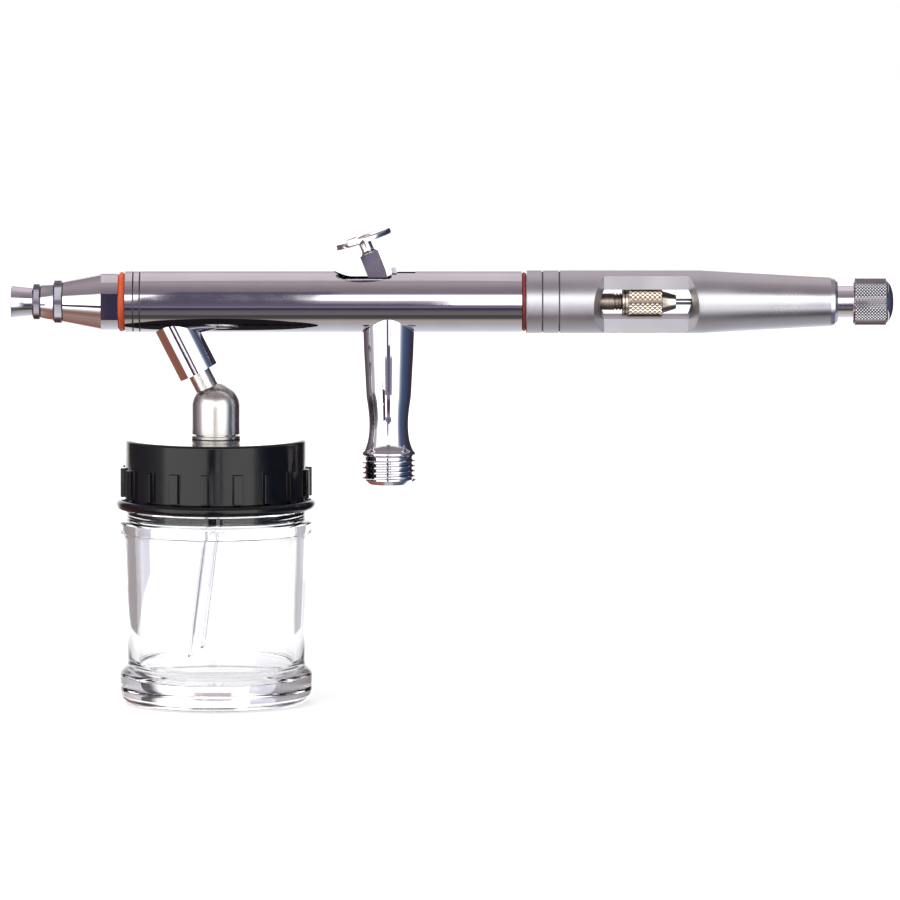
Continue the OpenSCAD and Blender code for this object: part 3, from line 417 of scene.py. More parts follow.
# %% Build the preset knob
stop_x, dome_x = span("preset_knob", "x")
knob_r = half_width("preset_knob")
knob_x, knob_rear_x = high("handle").x + 2.75, dome_x - 1.35
groove_x = low("knob_o_ring").x - 0.02
neck_front_x = high("handle").x - 4.5
preset_knob = turn_piece("preset_knob_turned", [
    (0, stop_x), (1.0, stop_x), (1.2, stop_x + 0.3), (1.2, neck_front_x), (2.77, neck_front_x),
    (2.87, neck_front_x + 0.1), (2.87, groove_x), (2.27, groove_x), (2.27, groove_x + 1.1),
    (2.87, groove_x + 1.1),
    (2.87, knob_x), (knob_r - 0.45, knob_x), (knob_r - 0.16, knob_x + 0.3),
    *((knob_r - inward, knob_rear_x + back) for inward, back in (
        (0.16, -0.25), (0.2, -0.1), (0.42, 0.22), (0.72, 0.5), (1.1, 0.75), (1.7, 1.02), (2.5, 1.23),
        (3.4, 1.33))),
    (0, dome_x),
], closed=False)
knob_knurl = knurled_sleeve("preset_knob_knurl", knob_r, knob_x + 0.25, knob_rear_x - 0.12, 40, 10, 0.18)
on_barrel(join(preset_knob, knob_knurl))
print("preset knob from", round(stop_x, 2), "to", round(dome_x, 2), "radius", round(knob_r, 2))

# %% [markdown]
# ## Air valve body with its hose thread
# The valve hangs under the barrel like a small vase and ends in a 1/8 inch pipe thread. The CAD solid has a
# ring for each crest. Here a trapezoid is swept by the Screw modifier into one true helix, and its two ends
# sink into the core as a cutting tool leaves them.

# %% Build the air valve
end_z = low("valve_body").z
pitch, root_r, crest_r = 0.907, THREAD_TOP_R - 0.58, THREAD_TOP_R
collar_z = 4.02
barrel_bottom = low("barrel").z
valve_body = turn_piece("valve_body_turned", [
    (2.5, end_z + 0.3), (2.75, end_z), (root_r - 0.85, end_z), (root_r - 0.7, end_z + 0.1),
    (root_r, end_z + 0.8),
    *along(collar_z, (
        (root_r, -0.42), (crest_r - 0.12, -0.06), (crest_r - 0.02, 0.02), (crest_r - 0.02, 0.2),
        (crest_r - 0.1, 0.46), (4.55, 0.72), (4.36, 1.0), (4.16, 1.45), (3.96, 2.0), (3.8, 2.6), (3.69, 3.3),
        (3.61, 4.0), (3.57, 4.8), (3.57, 5.6), (3.6, 6.4), (3.68, 7.3), (3.8, 8.3), (3.95, 9.3), (4.1, 10.3),
        (4.2, 12), (4.36, 15), (4.55, 18.2), (4.66, 21.4))),
    *along(barrel_bottom, ((4.68, 2.0), (4.68, 3.1), (2.95, 1.15))),
    *along(AXIS_Z, ((2.95, -3.42), (2.2, -3.42), (2.2, -7.63), (1.0, -7.63), (1.0, -10.03), (2.5, -10.03))),
])


def hose_thread(name, start, turns):
    """A helical ridge with the crest on the stated radius, closed at both ends. Sizes in mm."""
    bpy.ops.object.select_all(action="DESELECT")
    bpy.ops.mesh.primitive_plane_add(size=MM)
    ridge = bpy.context.object
    ridge.name = ridge.data.name = name
    corners = [(root_r - 0.12, -0.42), (crest_r, -0.1), (crest_r, 0.1), (root_r - 0.12, 0.42)]
    with editing(ridge):
        bpy.ops.mesh.delete(type="ONLY_FACE")
        profile = bmesh.from_edit_mesh(ridge.data)
        profile.verts.ensure_lookup_table()
        ring = [profile.verts[0]]
        while len(ring) < 4:
            around = [edge.other_vert(ring[-1]) for edge in ring[-1].link_edges]
            ring.append(next(vert for vert in around if vert not in ring))
        for vert, (r, h) in zip(ring, along(start, corners)):
            vert.co = (r * MM, 0, h * MM)
        bmesh.update_edit_mesh(ridge.data)
    steps = 72
    apply_modifier(ridge, "SCREW", angle=math.tau * turns, screw_offset=pitch * turns * MM,
                   steps=int(steps * turns), render_steps=int(steps * turns), axis="Z", use_smooth_shade=True)
    run_out = pitch * 0.45
    with editing(ridge):
        pick(ridge, "EDGE", lambda e: e.is_boundary)
        bpy.ops.mesh.edge_face_add()
        for vert in bmesh.from_edit_mesh(ridge.data).verts:
            r, height = vert.co.xy.length / MM, vert.co.z / MM
            ends = min(height - start, start + pitch * turns - height) + 0.42
            limit = root_r - 0.1 + (crest_r - root_r + 0.1) * min(1.0, max(0.0, ends / run_out))
            if r > limit:
                vert.co.xy *= limit / r
        bmesh.update_edit_mesh(ridge.data)
    return finish_shape(ridge)


thread = hose_thread("hose_thread", -0.62, 4.2)
join(valve_body, thread)


def saddle(piece):
    """Sinks the top ring of the valve onto the barrel, whose radius it follows."""
    barrel_r, bore_r, widest_sq, sunk = half_width("barrel"), 3.2, 22.5, 0.12
    for vert in piece.data.vertices:
        x, y, z = vert.co / MM
        if z > barrel_bottom - 0.4 and math.hypot(x, y) > bore_r:
            vert.co.z = min(vert.co.z, (AXIS_Z - math.sqrt(barrel_r**2 - min(y * y, widest_sq)) + sunk) * MM)


saddle(valve_body)
finish_shape(valve_body)
print("air valve down to", round(end_z, 2), "with", len(valve_body.data.polygons), "faces")

# %% [markdown]
# ## Trigger
# The trigger is a stem with a tilted finger pad. The stem comes from a merged copy of the CAD solid, cut off
# under its pad by a bisect, with its edges softened. The pad is a thin dished coin with a rounded rim.

# %% Build the trigger
PAD_TILT, STEM_LEAN = 18.4, 21.5
pad_r = 5.2
bend = Vector((-2.156, 0, 36.648))
lean = math.radians(STEM_LEAN)
up = Vector((-math.sin(lean), 0, math.cos(lean)))
pad_foot = bend + up * 5.74
stem = nodes["trigger"].copy()
stem.data = nodes["trigger"].data.copy()
for key in list(stem.keys()):
    del stem[key]
bpy.context.scene.collection.objects.link(stem)
stem.parent = None
stem.name = stem.data.name = "trigger_pad_and_stem"
with editing(stem):
    bpy.ops.mesh.remove_doubles(threshold=2e-6)
    bpy.ops.mesh.bisect(plane_co=(bend + up * 3.7) * MM, plane_no=up, use_fill=True, clear_outer=True)
    bpy.ops.mesh.select_all(action="SELECT")
    bpy.ops.mesh.dissolve_limited(angle_limit=math.radians(2))
apply_modifier(stem, "BEVEL", width=0.5 * MM, segments=4, limit_method="ANGLE", angle_limit=math.radians(55))
neck = turn_piece("trigger_neck", [
    (0, 3.4), (1.5, 3.4), (1.5, 3.68), (1.32, 3.82), (1.2, 4.0), (1.13, 4.3), (1.13, 5.3), (1.2, 5.55),
    (1.5, 5.8), (0, 6.1),
], sides=48, closed=False)
place(neck, bend.x, 0, bend.z, turn_y=-STEM_LEAN)
pad = turn_piece("trigger_pad", [
    (0, -0.1), (1.6, -0.1), (2.2, 0.02), (pad_r - 0.25, 0.06), (pad_r - 0.08, 0.12), (pad_r, 0.3),
    (pad_r, 0.88),
    (pad_r - 0.08, 1.05), (pad_r - 0.3, 1.14), (pad_r - 0.6, 1.1), (3.4, 0.9), (2.4, 0.84),
    (1.7, 0.86), (1.45, 0.95),
    (1.25, 1.12), (0.9, 1.24), (0.45, 1.32), (0, 1.34),
], closed=False)
place(pad, pad_foot.x, 0, pad_foot.z, turn_y=-PAD_TILT)
trigger = finish_shape(join(stem, neck, pad), angle=32)
apply_modifier(trigger, "WEIGHTED_NORMAL", keep_sharp=True)
trigger_top = max(v.co.z for v in trigger.data.vertices) / MM
print("trigger top at", round(trigger_top, 2), "CAD", round(high("trigger").z, 2))

# %% [markdown]
# ## Bottle cap
# The cap is injection-moulded black plastic with a smooth upper band, eighteen grip ribs and a fat bead at
# its lower edge. It is turned first. The ribs are faces of the wall pulled outwards, and a small bevel rounds
# them.

# %% Build the bottle cap
cap_low, cap_top = span("bottle_cap", "z")
bead_r = half_width("bottle_cap", "x")
wall_r, rib_out, rib_count, rib_sides = 16.2, 0.92, 18, 10
rib_foot, rib_high = 2.15, 7.35
cap_h = cap_top - cap_low
bottle_cap = turn_piece("bottle_cap_moulded", [
    (15.2, 0.25), (15.45, 0)]
    + arc(bead_r - 0.95, 0.95, 0.95, -90, 70, 12)
    + [(wall_r + 0.28, 1.93 - 0.08), (wall_r + 0.05, 1.98), (wall_r, rib_foot), (wall_r, rib_high),
    (wall_r, 9.5)]
    + arc(wall_r - 0.55, cap_h - 0.55, 0.55, 0, 90, 6)
    + [(12, cap_h), (5.2, cap_h), (2.52, cap_h), (2.52, cap_h - 1.6), (15.2, cap_h - 1.6)],
    sides=rib_count * rib_sides)


def rib_face(face):
    """Tells whether a face of the wall belongs to a grip rib."""
    centre = face.calc_center_median() / MM
    if not (rib_foot < centre.z < rib_high and abs(centre.xy.length - wall_r) < 0.1):
        return False
    turn = math.degrees(math.atan2(centre.y, centre.x)) + 95 + 180 / rib_count
    return abs((turn % (360 / rib_count)) - 180 / rib_count) < 1.6 * 360 / (rib_count * rib_sides)


with editing(bottle_cap):
    ribs = pick(bottle_cap, "FACE", rib_face)
    bpy.ops.mesh.extrude_region_shrink_fatten(TRANSFORM_OT_shrink_fatten={"value": rib_out * MM})
place(bottle_cap, BOTTLE_X, 0, cap_low)
apply_modifier(bottle_cap, "BEVEL", width=0.13 * MM, segments=2,
               limit_method="ANGLE", angle_limit=math.radians(50))
finish_shape(bottle_cap, angle=35)
apply_modifier(bottle_cap, "WEIGHTED_NORMAL", keep_sharp=True)
print("bottle cap with", ribs, "rib faces, height", round(cap_h, 2))

# %% [markdown]
# ## Elbow collar
# A thin ring lies between the elbow and the cap. In the photograph a fine dark line parts the two, where the
# elbow's lower edge stands a hair above the ring. A narrow groove turned under the ring's top lip makes that
# line.

# %% Build the elbow collar
collar_low, collar_high = span("elbow_collar", "z")
collar_r = half_width("elbow_collar", "x")
elbow_collar = turn_piece("elbow_collar_turned", [
    (2.55, collar_low), (collar_r - 0.1, collar_low), (collar_r, collar_low + 0.1),
    (collar_r, collar_high - 0.36),
    (collar_r - 0.08, collar_high - 0.27), (collar_r - 0.75, collar_high - 0.27),
    (collar_r - 0.75, collar_high),
    (2.55, collar_high),
])
place(elbow_collar, BOTTLE_X, 0, 0)
print("elbow collar", round(collar_high - collar_low, 2), "mm high, radius", round(collar_r, 2))

# %% [markdown]
# ## Thread in front of the chuck nut
# The chuck nut screws onto a fine thread, and a few of its turns show in the handle's window. At this size
# the turns read as rings, so they are turned as rings 0.6 mm apart on a thin sleeve that sits on the needle's
# tube.

# %% Build the chuck thread
thread_turns, ring_pitch = 4, 0.6
sleeve_x = nut_x - ring_pitch * thread_turns
chuck_rings = [(1.22, sleeve_x)]
for turn in range(thread_turns):
    ring_x = nut_x - ring_pitch * (thread_turns - turn)
    chuck_rings += along(ring_x, ((1.3, 0.04), (1.5, 0.22), (1.52, 0.3), (1.5, 0.38), (1.3, 0.56)))
chuck_thread = on_barrel(turn_piece("chuck_thread_turned", chuck_rings + [(1.22, nut_x)], sides=48))
print("chuck thread", thread_turns, "turns, from", round(sleeve_x, 2), "to", round(nut_x, 2))

# %% [markdown]
# ## Glass jar
# The jar is pressed glass: a heavy foot with a rounded heel, a straight body, a shoulder ring and a neck.
# Clear glass shows both of its walls, so the inside is turned with the same care as the outside.

# %% Build the glass jar
jar_low, jar_high = span("glass_jar", "z")
jar_r = half_width("glass_jar", "x")
jar_h = jar_high - jar_low
jar = turn_piece("glass_jar_pressed",
    [(0, 0.9), (9.5, 0.75), (12.8, 0.35), (13.6, 0.08), (14.2, 0.0)]
    + arc(jar_r - 2.8, 2.8, 2.8, -80, 0, 8)
    + [(jar_r, 4.2), (jar_r, 5.2), (jar_r - 0.05, 5.6), (jar_r - 0.3, 6.15), (jar_r - 0.85, 6.65),
    (jar_r - 1.25, 7.2),
       (jar_r - 1.4, 7.9), (16.1, 14), (16.45, 21)]
    + along(jar_h, (
        (16.75, -17), (16.9, -15), (16.95, -14.35), (jar_r - 0.12, -14.2), (jar_r - 0.02, -14.0),
        (jar_r - 0.02, -12.5), (jar_r - 0.2, -12.2), (16.7, -12.05), (16.25, -12.0), (16.1, -11.85),
        (16.1, -10.35),
        (15.95, -10.15), (15.2, -10.05), (14.65, -10.0), (14.6, -9.6), (14.6, -0.5)))
    + arc(14.1, jar_h - 0.5, 0.5, 0, 90, 4)
    + along(jar_h, (
        (12.9, 0), (12.55, -0.15), (12.4, -0.5), (12.4, -8.6), (12.6, -9.3), (13.3, -10.3), (14.05, -11.2),
        (14.4, -12.0), (14.5, -13.0), (14.5, -15.2)))
    + [(14.2, 20), (14.0, 7.2)] + arc(11.5, 6.7, 2.5, 0, -90, 8) + [(8, 4.05), (0, 3.9)],
    sides=128, closed=False)
place(jar, BOTTLE_X, 0, jar_low)
print("jar", round(jar_h, 1), "mm tall, radius", round(jar_r, 2))

# %% [markdown]
# ## Riding on the frame
# Each dressed piece stands for one CAD node and rides on that node's body, so it moves with its joint.

# %% Attach the pieces
DRESSED = {
    "needle_cap": (needle_cap, "chrome_barrel"), "nozzle_cap": (nozzle_cap, "chrome_barrel"),
    "chuck_nut": (chuck_nut, "warm_nickel"), "preset_knob": (preset_knob, "warm_nickel"),
    "valve_body": (valve_body, "chrome_barrel"), "trigger": (trigger, "chrome_barrel"),
    "bottle_cap": (bottle_cap, "black_plastic"), "glass_jar": (jar, "clear_glass"),
    "elbow_collar": (elbow_collar, "brushed_fitting"),
}
bodies = frame["record"]["behaviour"]["bodies"]
BODY_OF = {member: body for body, members in bodies.items() for member in members}
for node, (piece, slot) in DRESSED.items():
    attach(piece, BODY_OF[node])
    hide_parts(node)
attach(chuck_thread, BODY_OF["needle_chuck"])
print("dressed pieces:", len(DRESSED), "and the chuck thread")

# %% [markdown]
# ## Colours and nodes
# A colour is written as the sRGB hex value that a colour picker reads. A shader counts in linear light, so
# one function converts it. Others add a node with its settings and its links, and start a finish. Every
# pattern reads Object coordinates in metres, so a scale is one over the pattern's real size.

# %% Colour and node helpers
def colour(text):
    """Turns an sRGB hex value into the linear colour of a shader socket."""
    parts = [int(text[i:i + 2], 16) / 255 for i in (0, 2, 4)]
    return tuple(c / 12.92 if c <= 0.04045 else ((c + 0.055) / 1.055) ** 2.4 for c in parts) + (1.0,)


def plug(node, name, value):
    """Sets an input to a plain value, or links it to a socket or to another node's first output in use."""
    if isinstance(value, bpy.types.Node):
        value = next(output for output in value.outputs if output.enabled)
    if isinstance(value, bpy.types.NodeSocket):
        node.id_data.links.new(value, node.inputs[name])
    else:
        node.inputs[name].default_value = value


def add_node(tree, kind, inputs=None, stops=None, **settings):
    """Adds a node with its settings and its inputs. Stops fill a colour ramp."""
    node = tree.nodes.new("ShaderNode" + kind)
    for name, value in settings.items():
        setattr(node, name, value)
    for name, value in (inputs or {}).items():
        plug(node, name, value)
    for i, (position, text) in enumerate(stops or []):
        element = node.color_ramp.elements[i] if i < 2 else node.color_ramp.elements.new(position)
        element.position, element.color = position, colour(text)
    return node


def maths(tree, operation, *inputs):
    """Adds a math node on up to three inputs."""
    return add_node(tree, "Math", dict(enumerate(inputs)), operation=operation)


def remap(tree, value, *limits, **settings):
    """Adds a node that maps a value from one range to another, which is 0 to 1 unless stated."""
    return add_node(tree, "MapRange", {"Value": value, **dict(enumerate(limits, 1))}, **settings)


def blend(tree, factor, first, second):
    """Adds a node that mixes two colours."""
    return add_node(tree, "Mix", {"Factor": factor, 6: first, 7: second}, data_type="RGBA")


def noise(tree, where, pattern_mm, detail):
    """Adds a noise whose spots have a width in mm."""
    return add_node(tree, "TexNoise", {"Vector": where, "Scale": 1000 / pattern_mm, "Detail": detail})


def bare_tree(owner):
    """Switches on the nodes of a material or the world and clears them."""
    owner.use_nodes = True
    owner.node_tree.nodes.clear()
    return owner.node_tree


def start_finish(name, tint, metallic=0.0, roughness=0.5, **sockets):
    """Starts a material with its plain values and hands over its tree, shader and object coordinates."""
    finish = bpy.data.materials.new(name)
    finish.use_nodes = True
    tree = finish.node_tree
    shader = tree.nodes["Principled BSDF"]
    plain = {"Base Color": colour(tint), "Metallic": metallic, "Roughness": roughness, **sockets}
    for socket, value in plain.items():
        plug(shader, socket, value)
    return finish, tree, shader, add_node(tree, "TexCoord").outputs["Object"]


def dress(tree, shader, where, pattern_mm, tints, rough, height_um, stretch=(1, 1, 1), detail=3.0):
    """Breaks up a finish by one noise: its colour between two tints, its roughness, its height in microns."""
    laid = add_node(tree, "Mapping", {"Vector": where, "Scale": stretch})
    cloud = noise(tree, laid, pattern_mm, detail)
    tone = blend(tree, cloud, colour(tints[0]), colour(tints[1]))
    gloss = remap(tree, cloud, 0.3, 0.7, rough[0], rough[1])
    relief = add_node(tree, "Bump", {"Height": cloud, "Distance": height_um * 1e-6})
    for socket, node in {"Base Color": tone, "Roughness": gloss, "Normal": relief}.items():
        plug(shader, socket, node)
    return relief


def groove_painted_shade(tree, shader, where, stations, text):
    """Paints shade into the bottoms of turned grooves 0.25 mm wide, darker and duller. Stations along X in mm."""
    length_x = add_node(tree, "SeparateXYZ", {"Vector": where})
    inside = 0.0
    for station in stations:
        here = maths(tree, "COMPARE", length_x, station * MM, 0.13 * MM)
        inside = maths(tree, "MAXIMUM", here, inside)
    clean_and_unshaded, gloss = (shader.inputs[name].links[0].from_socket for name in ("Base Color", "Roughness"))
    # the groove bottoms are painted a darker colour, which is painted shade, and made rougher
    groove_shaded = blend(tree, inside, clean_and_unshaded, colour(text))
    plug(shader, "Base Color", groove_shaded)
    plug(shader, "Roughness", maths(tree, "MULTIPLY_ADD", inside, 0.45, gloss))


FINISHES = {}

# %% [markdown]
# ## Polished chrome plate
# Most of the gun is brass under a mirror of nickel and chrome. Chrome is a neutral metal that gives back a
# bit over half of the light. A buffed part is never flat: hand polishing leaves a ripple a few millimetres
# wide and some microns high, wiping leaves softer patches, and use leaves hairlines. The ripple bends each
# reflection a little.

# %% Chrome plate
FINISHES["chrome"], tree, shader, where = start_finish("mirror_chrome_plate_on_brass", "C9C7CB", 1.0, 0.06)
ripple = dress(tree, shader, where, pattern_mm=5, tints=("C2BFC4", "CDCBCE"), rough=(0.02, 0.05),
               height_um=2.5, detail=1.0)
hair = add_node(tree, "Mapping", {"Vector": where, "Scale": (1.0, 0.08, 0.08)})
hairlines = noise(tree, hair, 0.22, 2.0)
plug(shader, "Normal", add_node(tree, "Bump", {"Height": hairlines, "Distance": 0.12e-6, "Normal": ripple}))
face_x = low("barrel").x
# painted shade in the bottoms of the barrel's two turned grooves, colour 5E585C
groove_painted_shade(tree, shader, where, (face_x + 1.425, face_x + 2.625), "5E585C")
print("chrome plate: ripple 5 mm wide, hairlines 0.22 mm apart")

# %% [markdown]
# ## Bead-blasted handle
# The handle is chromed too, but it was blasted with glass beads first, so it is satin. Fine dimples about
# 0.15 mm wide spread each highlight, and a smooth worn area near the rear shows where the hand rests.

# %% Satin handle
FINISHES["satin"], tree, shader, where = start_finish("bead_blasted_satin_chrome", "BAB8BC", 1.0, 0.34)
cloud = noise(tree, where, 7.0, 4.0)
tone = blend(tree, cloud, colour("B2B0B5"), colour("C3C1C4"))
plug(shader, "Base Color", tone)
length_x = add_node(tree, "SeparateXYZ", {"Vector": where})
hand = remap(tree, length_x, 52 * MM, 66 * MM, 0.37, 0.27, interpolation_type="SMOOTHSTEP")
worn = maths(tree, "MULTIPLY_ADD", cloud, 0.16, hand)
plug(shader, "Roughness", maths(tree, "SUBTRACT", worn, 0.08))
grain = noise(tree, where, 0.15, 2.0)
dimples = add_node(tree, "Bump", {"Height": grain, "Distance": 6e-6})
laid = add_node(tree, "Mapping", {"Vector": where, "Scale": (0.12, 1, 1), "Rotation": (0.2, 0.5, 0.1)})
scuffs = noise(tree, laid, 0.5, 2.0)
deepest = remap(tree, scuffs, 0.66, 0.72)
plug(shader, "Normal", add_node(tree, "Bump", {"Height": deepest, "Distance": 2e-6, "Normal": dimples}))
handle_x = low("handle").x
# painted shade in the bottoms of the handle's two turned grooves, colour 8A8488
groove_painted_shade(tree, shader, where, (handle_x + 2.925, handle_x + 5.925), "8A8488")
print("satin handle: dimples 0.15 mm, smoother from X 52 to 66 mm on")

# %% [markdown]
# ## Knurled grips
# The knob is chromed like the gun, and the chuck nut is plain nickel, which is warmer. The points of a knurl
# are rubbed bright, and its roots carry dirt and painted shade, so the tint follows the distance from the
# barrel's axis. Anything turned smaller than the roots, such as the neck or the dome, is plain metal again,
# without dirt or painted shade.

# %% Knurled grips
def knurl_finish(name, root, crest, root_dirt_and_shade, tints, rough):
    """Metal that brightens from dirt and painted shade at the root to the crest radius of a knurl, both in mm."""
    finish, tree, shader, where = start_finish(name, tints[0], metallic=1.0, roughness=rough[0])
    dress(tree, shader, where, pattern_mm=0.6, tints=tints, rough=rough, height_um=1)
    centred = add_node(tree, "Mapping", {"Vector": where, "Location": (0, 0, -AXIS_Z * MM), "Scale": (0, 1, 1)})
    far = add_node(tree, "VectorMath", {0: centred}, operation="LENGTH")
    # the tint runs from the root's dirt and painted shade to the metal at the crest
    root_to_crest = remap(tree, far, root * MM, crest * MM)
    bare = remap(tree, far, (root - 0.2) * MM, (root - 0.1) * MM, 1.0, 0.0)
    clean_and_unshaded = maths(tree, "MAXIMUM", root_to_crest, bare)
    metal = shader.inputs["Base Color"].links[0].from_socket
    tone = blend(tree, clean_and_unshaded, colour(root_dirt_and_shade), metal)
    plug(shader, "Base Color", tone)
    return finish


# the first colour of each look is the knurl root's, which is dirt and painted shade
KNOB_CHROME = "625E62", ("CFCDD0", "DAD8DB"), (0.07, 0.12)
NUT_NICKEL = "A0907F", ("D6CBBE", "E2D8CC"), (0.16, 0.26)
CAP_CHROME = "55525E", ("C2C0C8", "CECCD2"), (0.03, 0.07)
for key, name, root, crest, look in (
    ("knob_nickel", "knurled_chrome_plate_knob", knob_r - 0.18, knob_r - 0.04, KNOB_CHROME),
    ("nut_nickel", "knurled_nickel_chuck_nut", nut_r - 0.2, nut_r - 0.1, NUT_NICKEL),
    ("needle_ring", "knurled_chrome_plate_needle_cap", ring_r - 0.12, ring_r - 0.02, CAP_CHROME),
    ("nozzle_ring", "knurled_chrome_plate_nozzle_cap", nozzle_r - 0.13, nozzle_r - 0.02, CAP_CHROME),
):
    FINISHES[key] = knurl_finish(name, root, crest, *look)
print("knurled grips: chrome on the knob and both caps, nickel on the chuck nut")

# %% [markdown]
# ## Brushed, ground, drawn and turned metal
# The siphon's elbow and its collar are stainless steel finished with an abrasive belt, so they carry fine
# upright streaks: a noise squeezed across and stretched along Z draws them. The needle and the small levers
# are ground along X, and the inner brass is turned. Spring wire is drawn through a die. The chuck's nickel
# plate is painted darker and warmer, as painted shade from the handle's window and painted reflection of the handle.

# %% Brushed, ground, drawn and turned metal
EVEN, ALONG_X, UPRIGHT = (1, 1, 1), (1, 0.1, 0.1), (1, 1, 0.05)
for key, name, tint, roughness, pattern_mm, tints, rough, height_um, stretch in (
    ("brushed", "belt_brushed_stainless_steel", "BFBAB6", 0.28, 0.35, ("B4AEAA", "CBC7C3"),
     (0.22, 0.34), 1.5, UPRIGHT),
    ("bright_steel", "ground_tool_steel", "BFBFC3", 0.16, 0.3, ("B4B4B9", "C9C9CC"), (0.12, 0.24), 1, ALONG_X),
    ("spring_steel", "drawn_spring_wire", "9C9A9B", 0.3, 0.25, ("8C8A8C", "A9A7A8"), (0.22, 0.38), 1, EVEN),
    # the chuck's tint is painted shade and painted reflection: darker and warmer for the handle's window round it
    ("chuck_nickel_painted_shade", "nickel_plate_with_painted_window_shade", "9A8C82", 0.34, 0.5, ("8C7E75", "A69A90"),
     (0.28, 0.42), 1, EVEN),
    ("brass", "turned_free_cutting_brass", "C9A760", 0.22, 0.3, ("BC9850", "D2B36E"), (0.16, 0.3), 1, ALONG_X),
):
    FINISHES[key], tree, shader, where = start_finish(name, tint, metallic=1.0, roughness=roughness)
    dress(tree, shader, where, pattern_mm, tints, rough, height_um, stretch)
print("steel: brushed, ground and drawn, and turned brass")

# %% [markdown]
# ## Moulded black plastic
# The bottle cap is glossy black polypropylene or ABS. Moulded plastic copies a polished steel mould, with a
# very shallow orange peel, and handling leaves a duller haze. Black plastic has only its clear gloss to show.

# %% Black plastic
FINISHES["black_plastic"], tree, shader, where = start_finish(
    "glossy_moulded_black_ABS", "0E0D11", roughness=0.14, **{"IOR": 1.5, "Specular IOR Level": 0.28})
dress(tree, shader, where, pattern_mm=2.2, tints=("0B0A0D", "141217"), rough=(0.1, 0.2),
      height_um=3, detail=2.0)
print("black plastic: orange peel 2.2 mm wide")

# %% [markdown]
# ## Pressed glass and clear tube
# The jar is soda-lime glass pressed in an iron mould. Clear glass bends light at both walls, so its edges
# grey a little. The mould leaves broad shallow waves about 9 mm wide. The siphon tube inside is clear
# plastic, so in front of white it shows as two thin grey lines.

# %% Glass and tube
FINISHES["glass"], tree, shader, where = start_finish(
    "pressed_soda_lime_glass", "FFFFFF", roughness=0.0, **{"Transmission Weight": 1.0, "IOR": 1.5})
dress(tree, shader, where, pattern_mm=9, tints=("FCFCFE", "FFFFFF"), rough=(0.0, 0.03),
      height_um=25, detail=0.0)
FINISHES["tube"], tree, shader, where = start_finish(
    "clear_extruded_plastic_tube", "F6F6F8", roughness=0.03, **{"Transmission Weight": 1.0, "IOR": 1.4})
dress(tree, shader, where, 2.5, ("F1F1F4", "FBFBFC"), (0.01, 0.06), 6, stretch=(1, 1, 0.2), detail=1.0)
print("clear glass and clear tube")

# %% [markdown]
# ## Seals
# The front ring is an orange fluorocarbon O-ring and the rear one a dark red one. Rubber is matt with a soft
# sheen, and its moulded skin has a grain, drawn 0.4 mm wide so that it shows. The seat seals are waxy white
# PTFE.

# %% Rubber rings and PTFE
for key, name, tints, rough in (
    ("orange_ring", "orange_fluorocarbon_rubber", ("D24A1C", "E2602E"), (0.42, 0.6)),
    ("red_ring", "dark_red_fluorocarbon_rubber", ("7E2426", "983233"), (0.42, 0.6)),
    ("black_ring", "black_nitrile_rubber", ("17161A", "232226"), (0.42, 0.6)),
    ("ptfe", "white_PTFE", ("E9E8E4", "F4F3F0"), (0.35, 0.5)),
):
    FINISHES[key], tree, shader, where = start_finish(name, tints[0], roughness=rough[0])
    dress(tree, shader, where, pattern_mm=0.4, tints=tints, rough=rough, height_um=5)
print("finishes:", len(FINISHES))

# %% [markdown]
# ## Handing out the finishes
# A CAD node keeps its mesh and takes its finish in its own material slots. A new piece takes it as its only
# one.

# %% Assign the finishes
FINISH_OF = {
    "chrome": ["barrel", "siphon_stem", "head", "valve_body", "trigger"],
    "needle_ring": ["needle_cap"], "nozzle_ring": ["nozzle_cap"],
    "satin": ["handle"], "knob_nickel": ["preset_knob"], "nut_nickel": ["chuck_nut"],
    "chuck_nickel_painted_shade": ["needle_chuck"],
    "brushed": ["bottle_spigot", "bottle_elbow", "elbow_collar", "cap_nut"],
    "bright_steel": ["rocker_lever", "needle", "spring_case", "packing_screw"],
    "spring_steel": ["valve_spring", "needle_spring"],
    "brass": ["fluid_nozzle", "valve_screw", "valve_plunger"],
    "black_plastic": ["bottle_cap"], "glass": ["glass_jar"], "tube": ["siphon_tube"],
    "orange_ring": ["front_o_ring"], "red_ring": ["rear_o_ring"], "black_ring": ["knob_o_ring", "valve_o_ring"],
    "ptfe": ["nozzle_seal", "needle_packing", "cap_liner"],
}
for key, members in FINISH_OF.items():
    for node in members:
        if node in DRESSED:
            piece = DRESSED[node][0]
            piece.data.materials.clear()
            piece.data.materials.append(FINISHES[key])
        else:
            for slot in nodes[node].material_slots:
                slot.material = FINISHES[key]
chuck_thread.data.materials.append(FINISHES["chuck_nickel_painted_shade"])
print("finished nodes:", sum(len(m) for m in FINISH_OF.values()), "of", len(nodes))

# %% [markdown]
# ## Studio floor
# The photograph's ground is plain white. The floor glows a little to the camera and takes the rest of its
# white from the lamps, so that it comes out white and still keeps the tool's soft shadow. Clear glass sees it
# as the camera does. Mirrors look past it, to the studio that the next step paints.

# %% Floor
def eye_rays(tree):
    """The kinds of rays, and a value that is 1 for rays that the camera sends, also through glass."""
    path = add_node(tree, "LightPath").outputs
    return path, maths(tree, "MAXIMUM", path["Is Camera Ray"], path["Is Transmission Ray"])


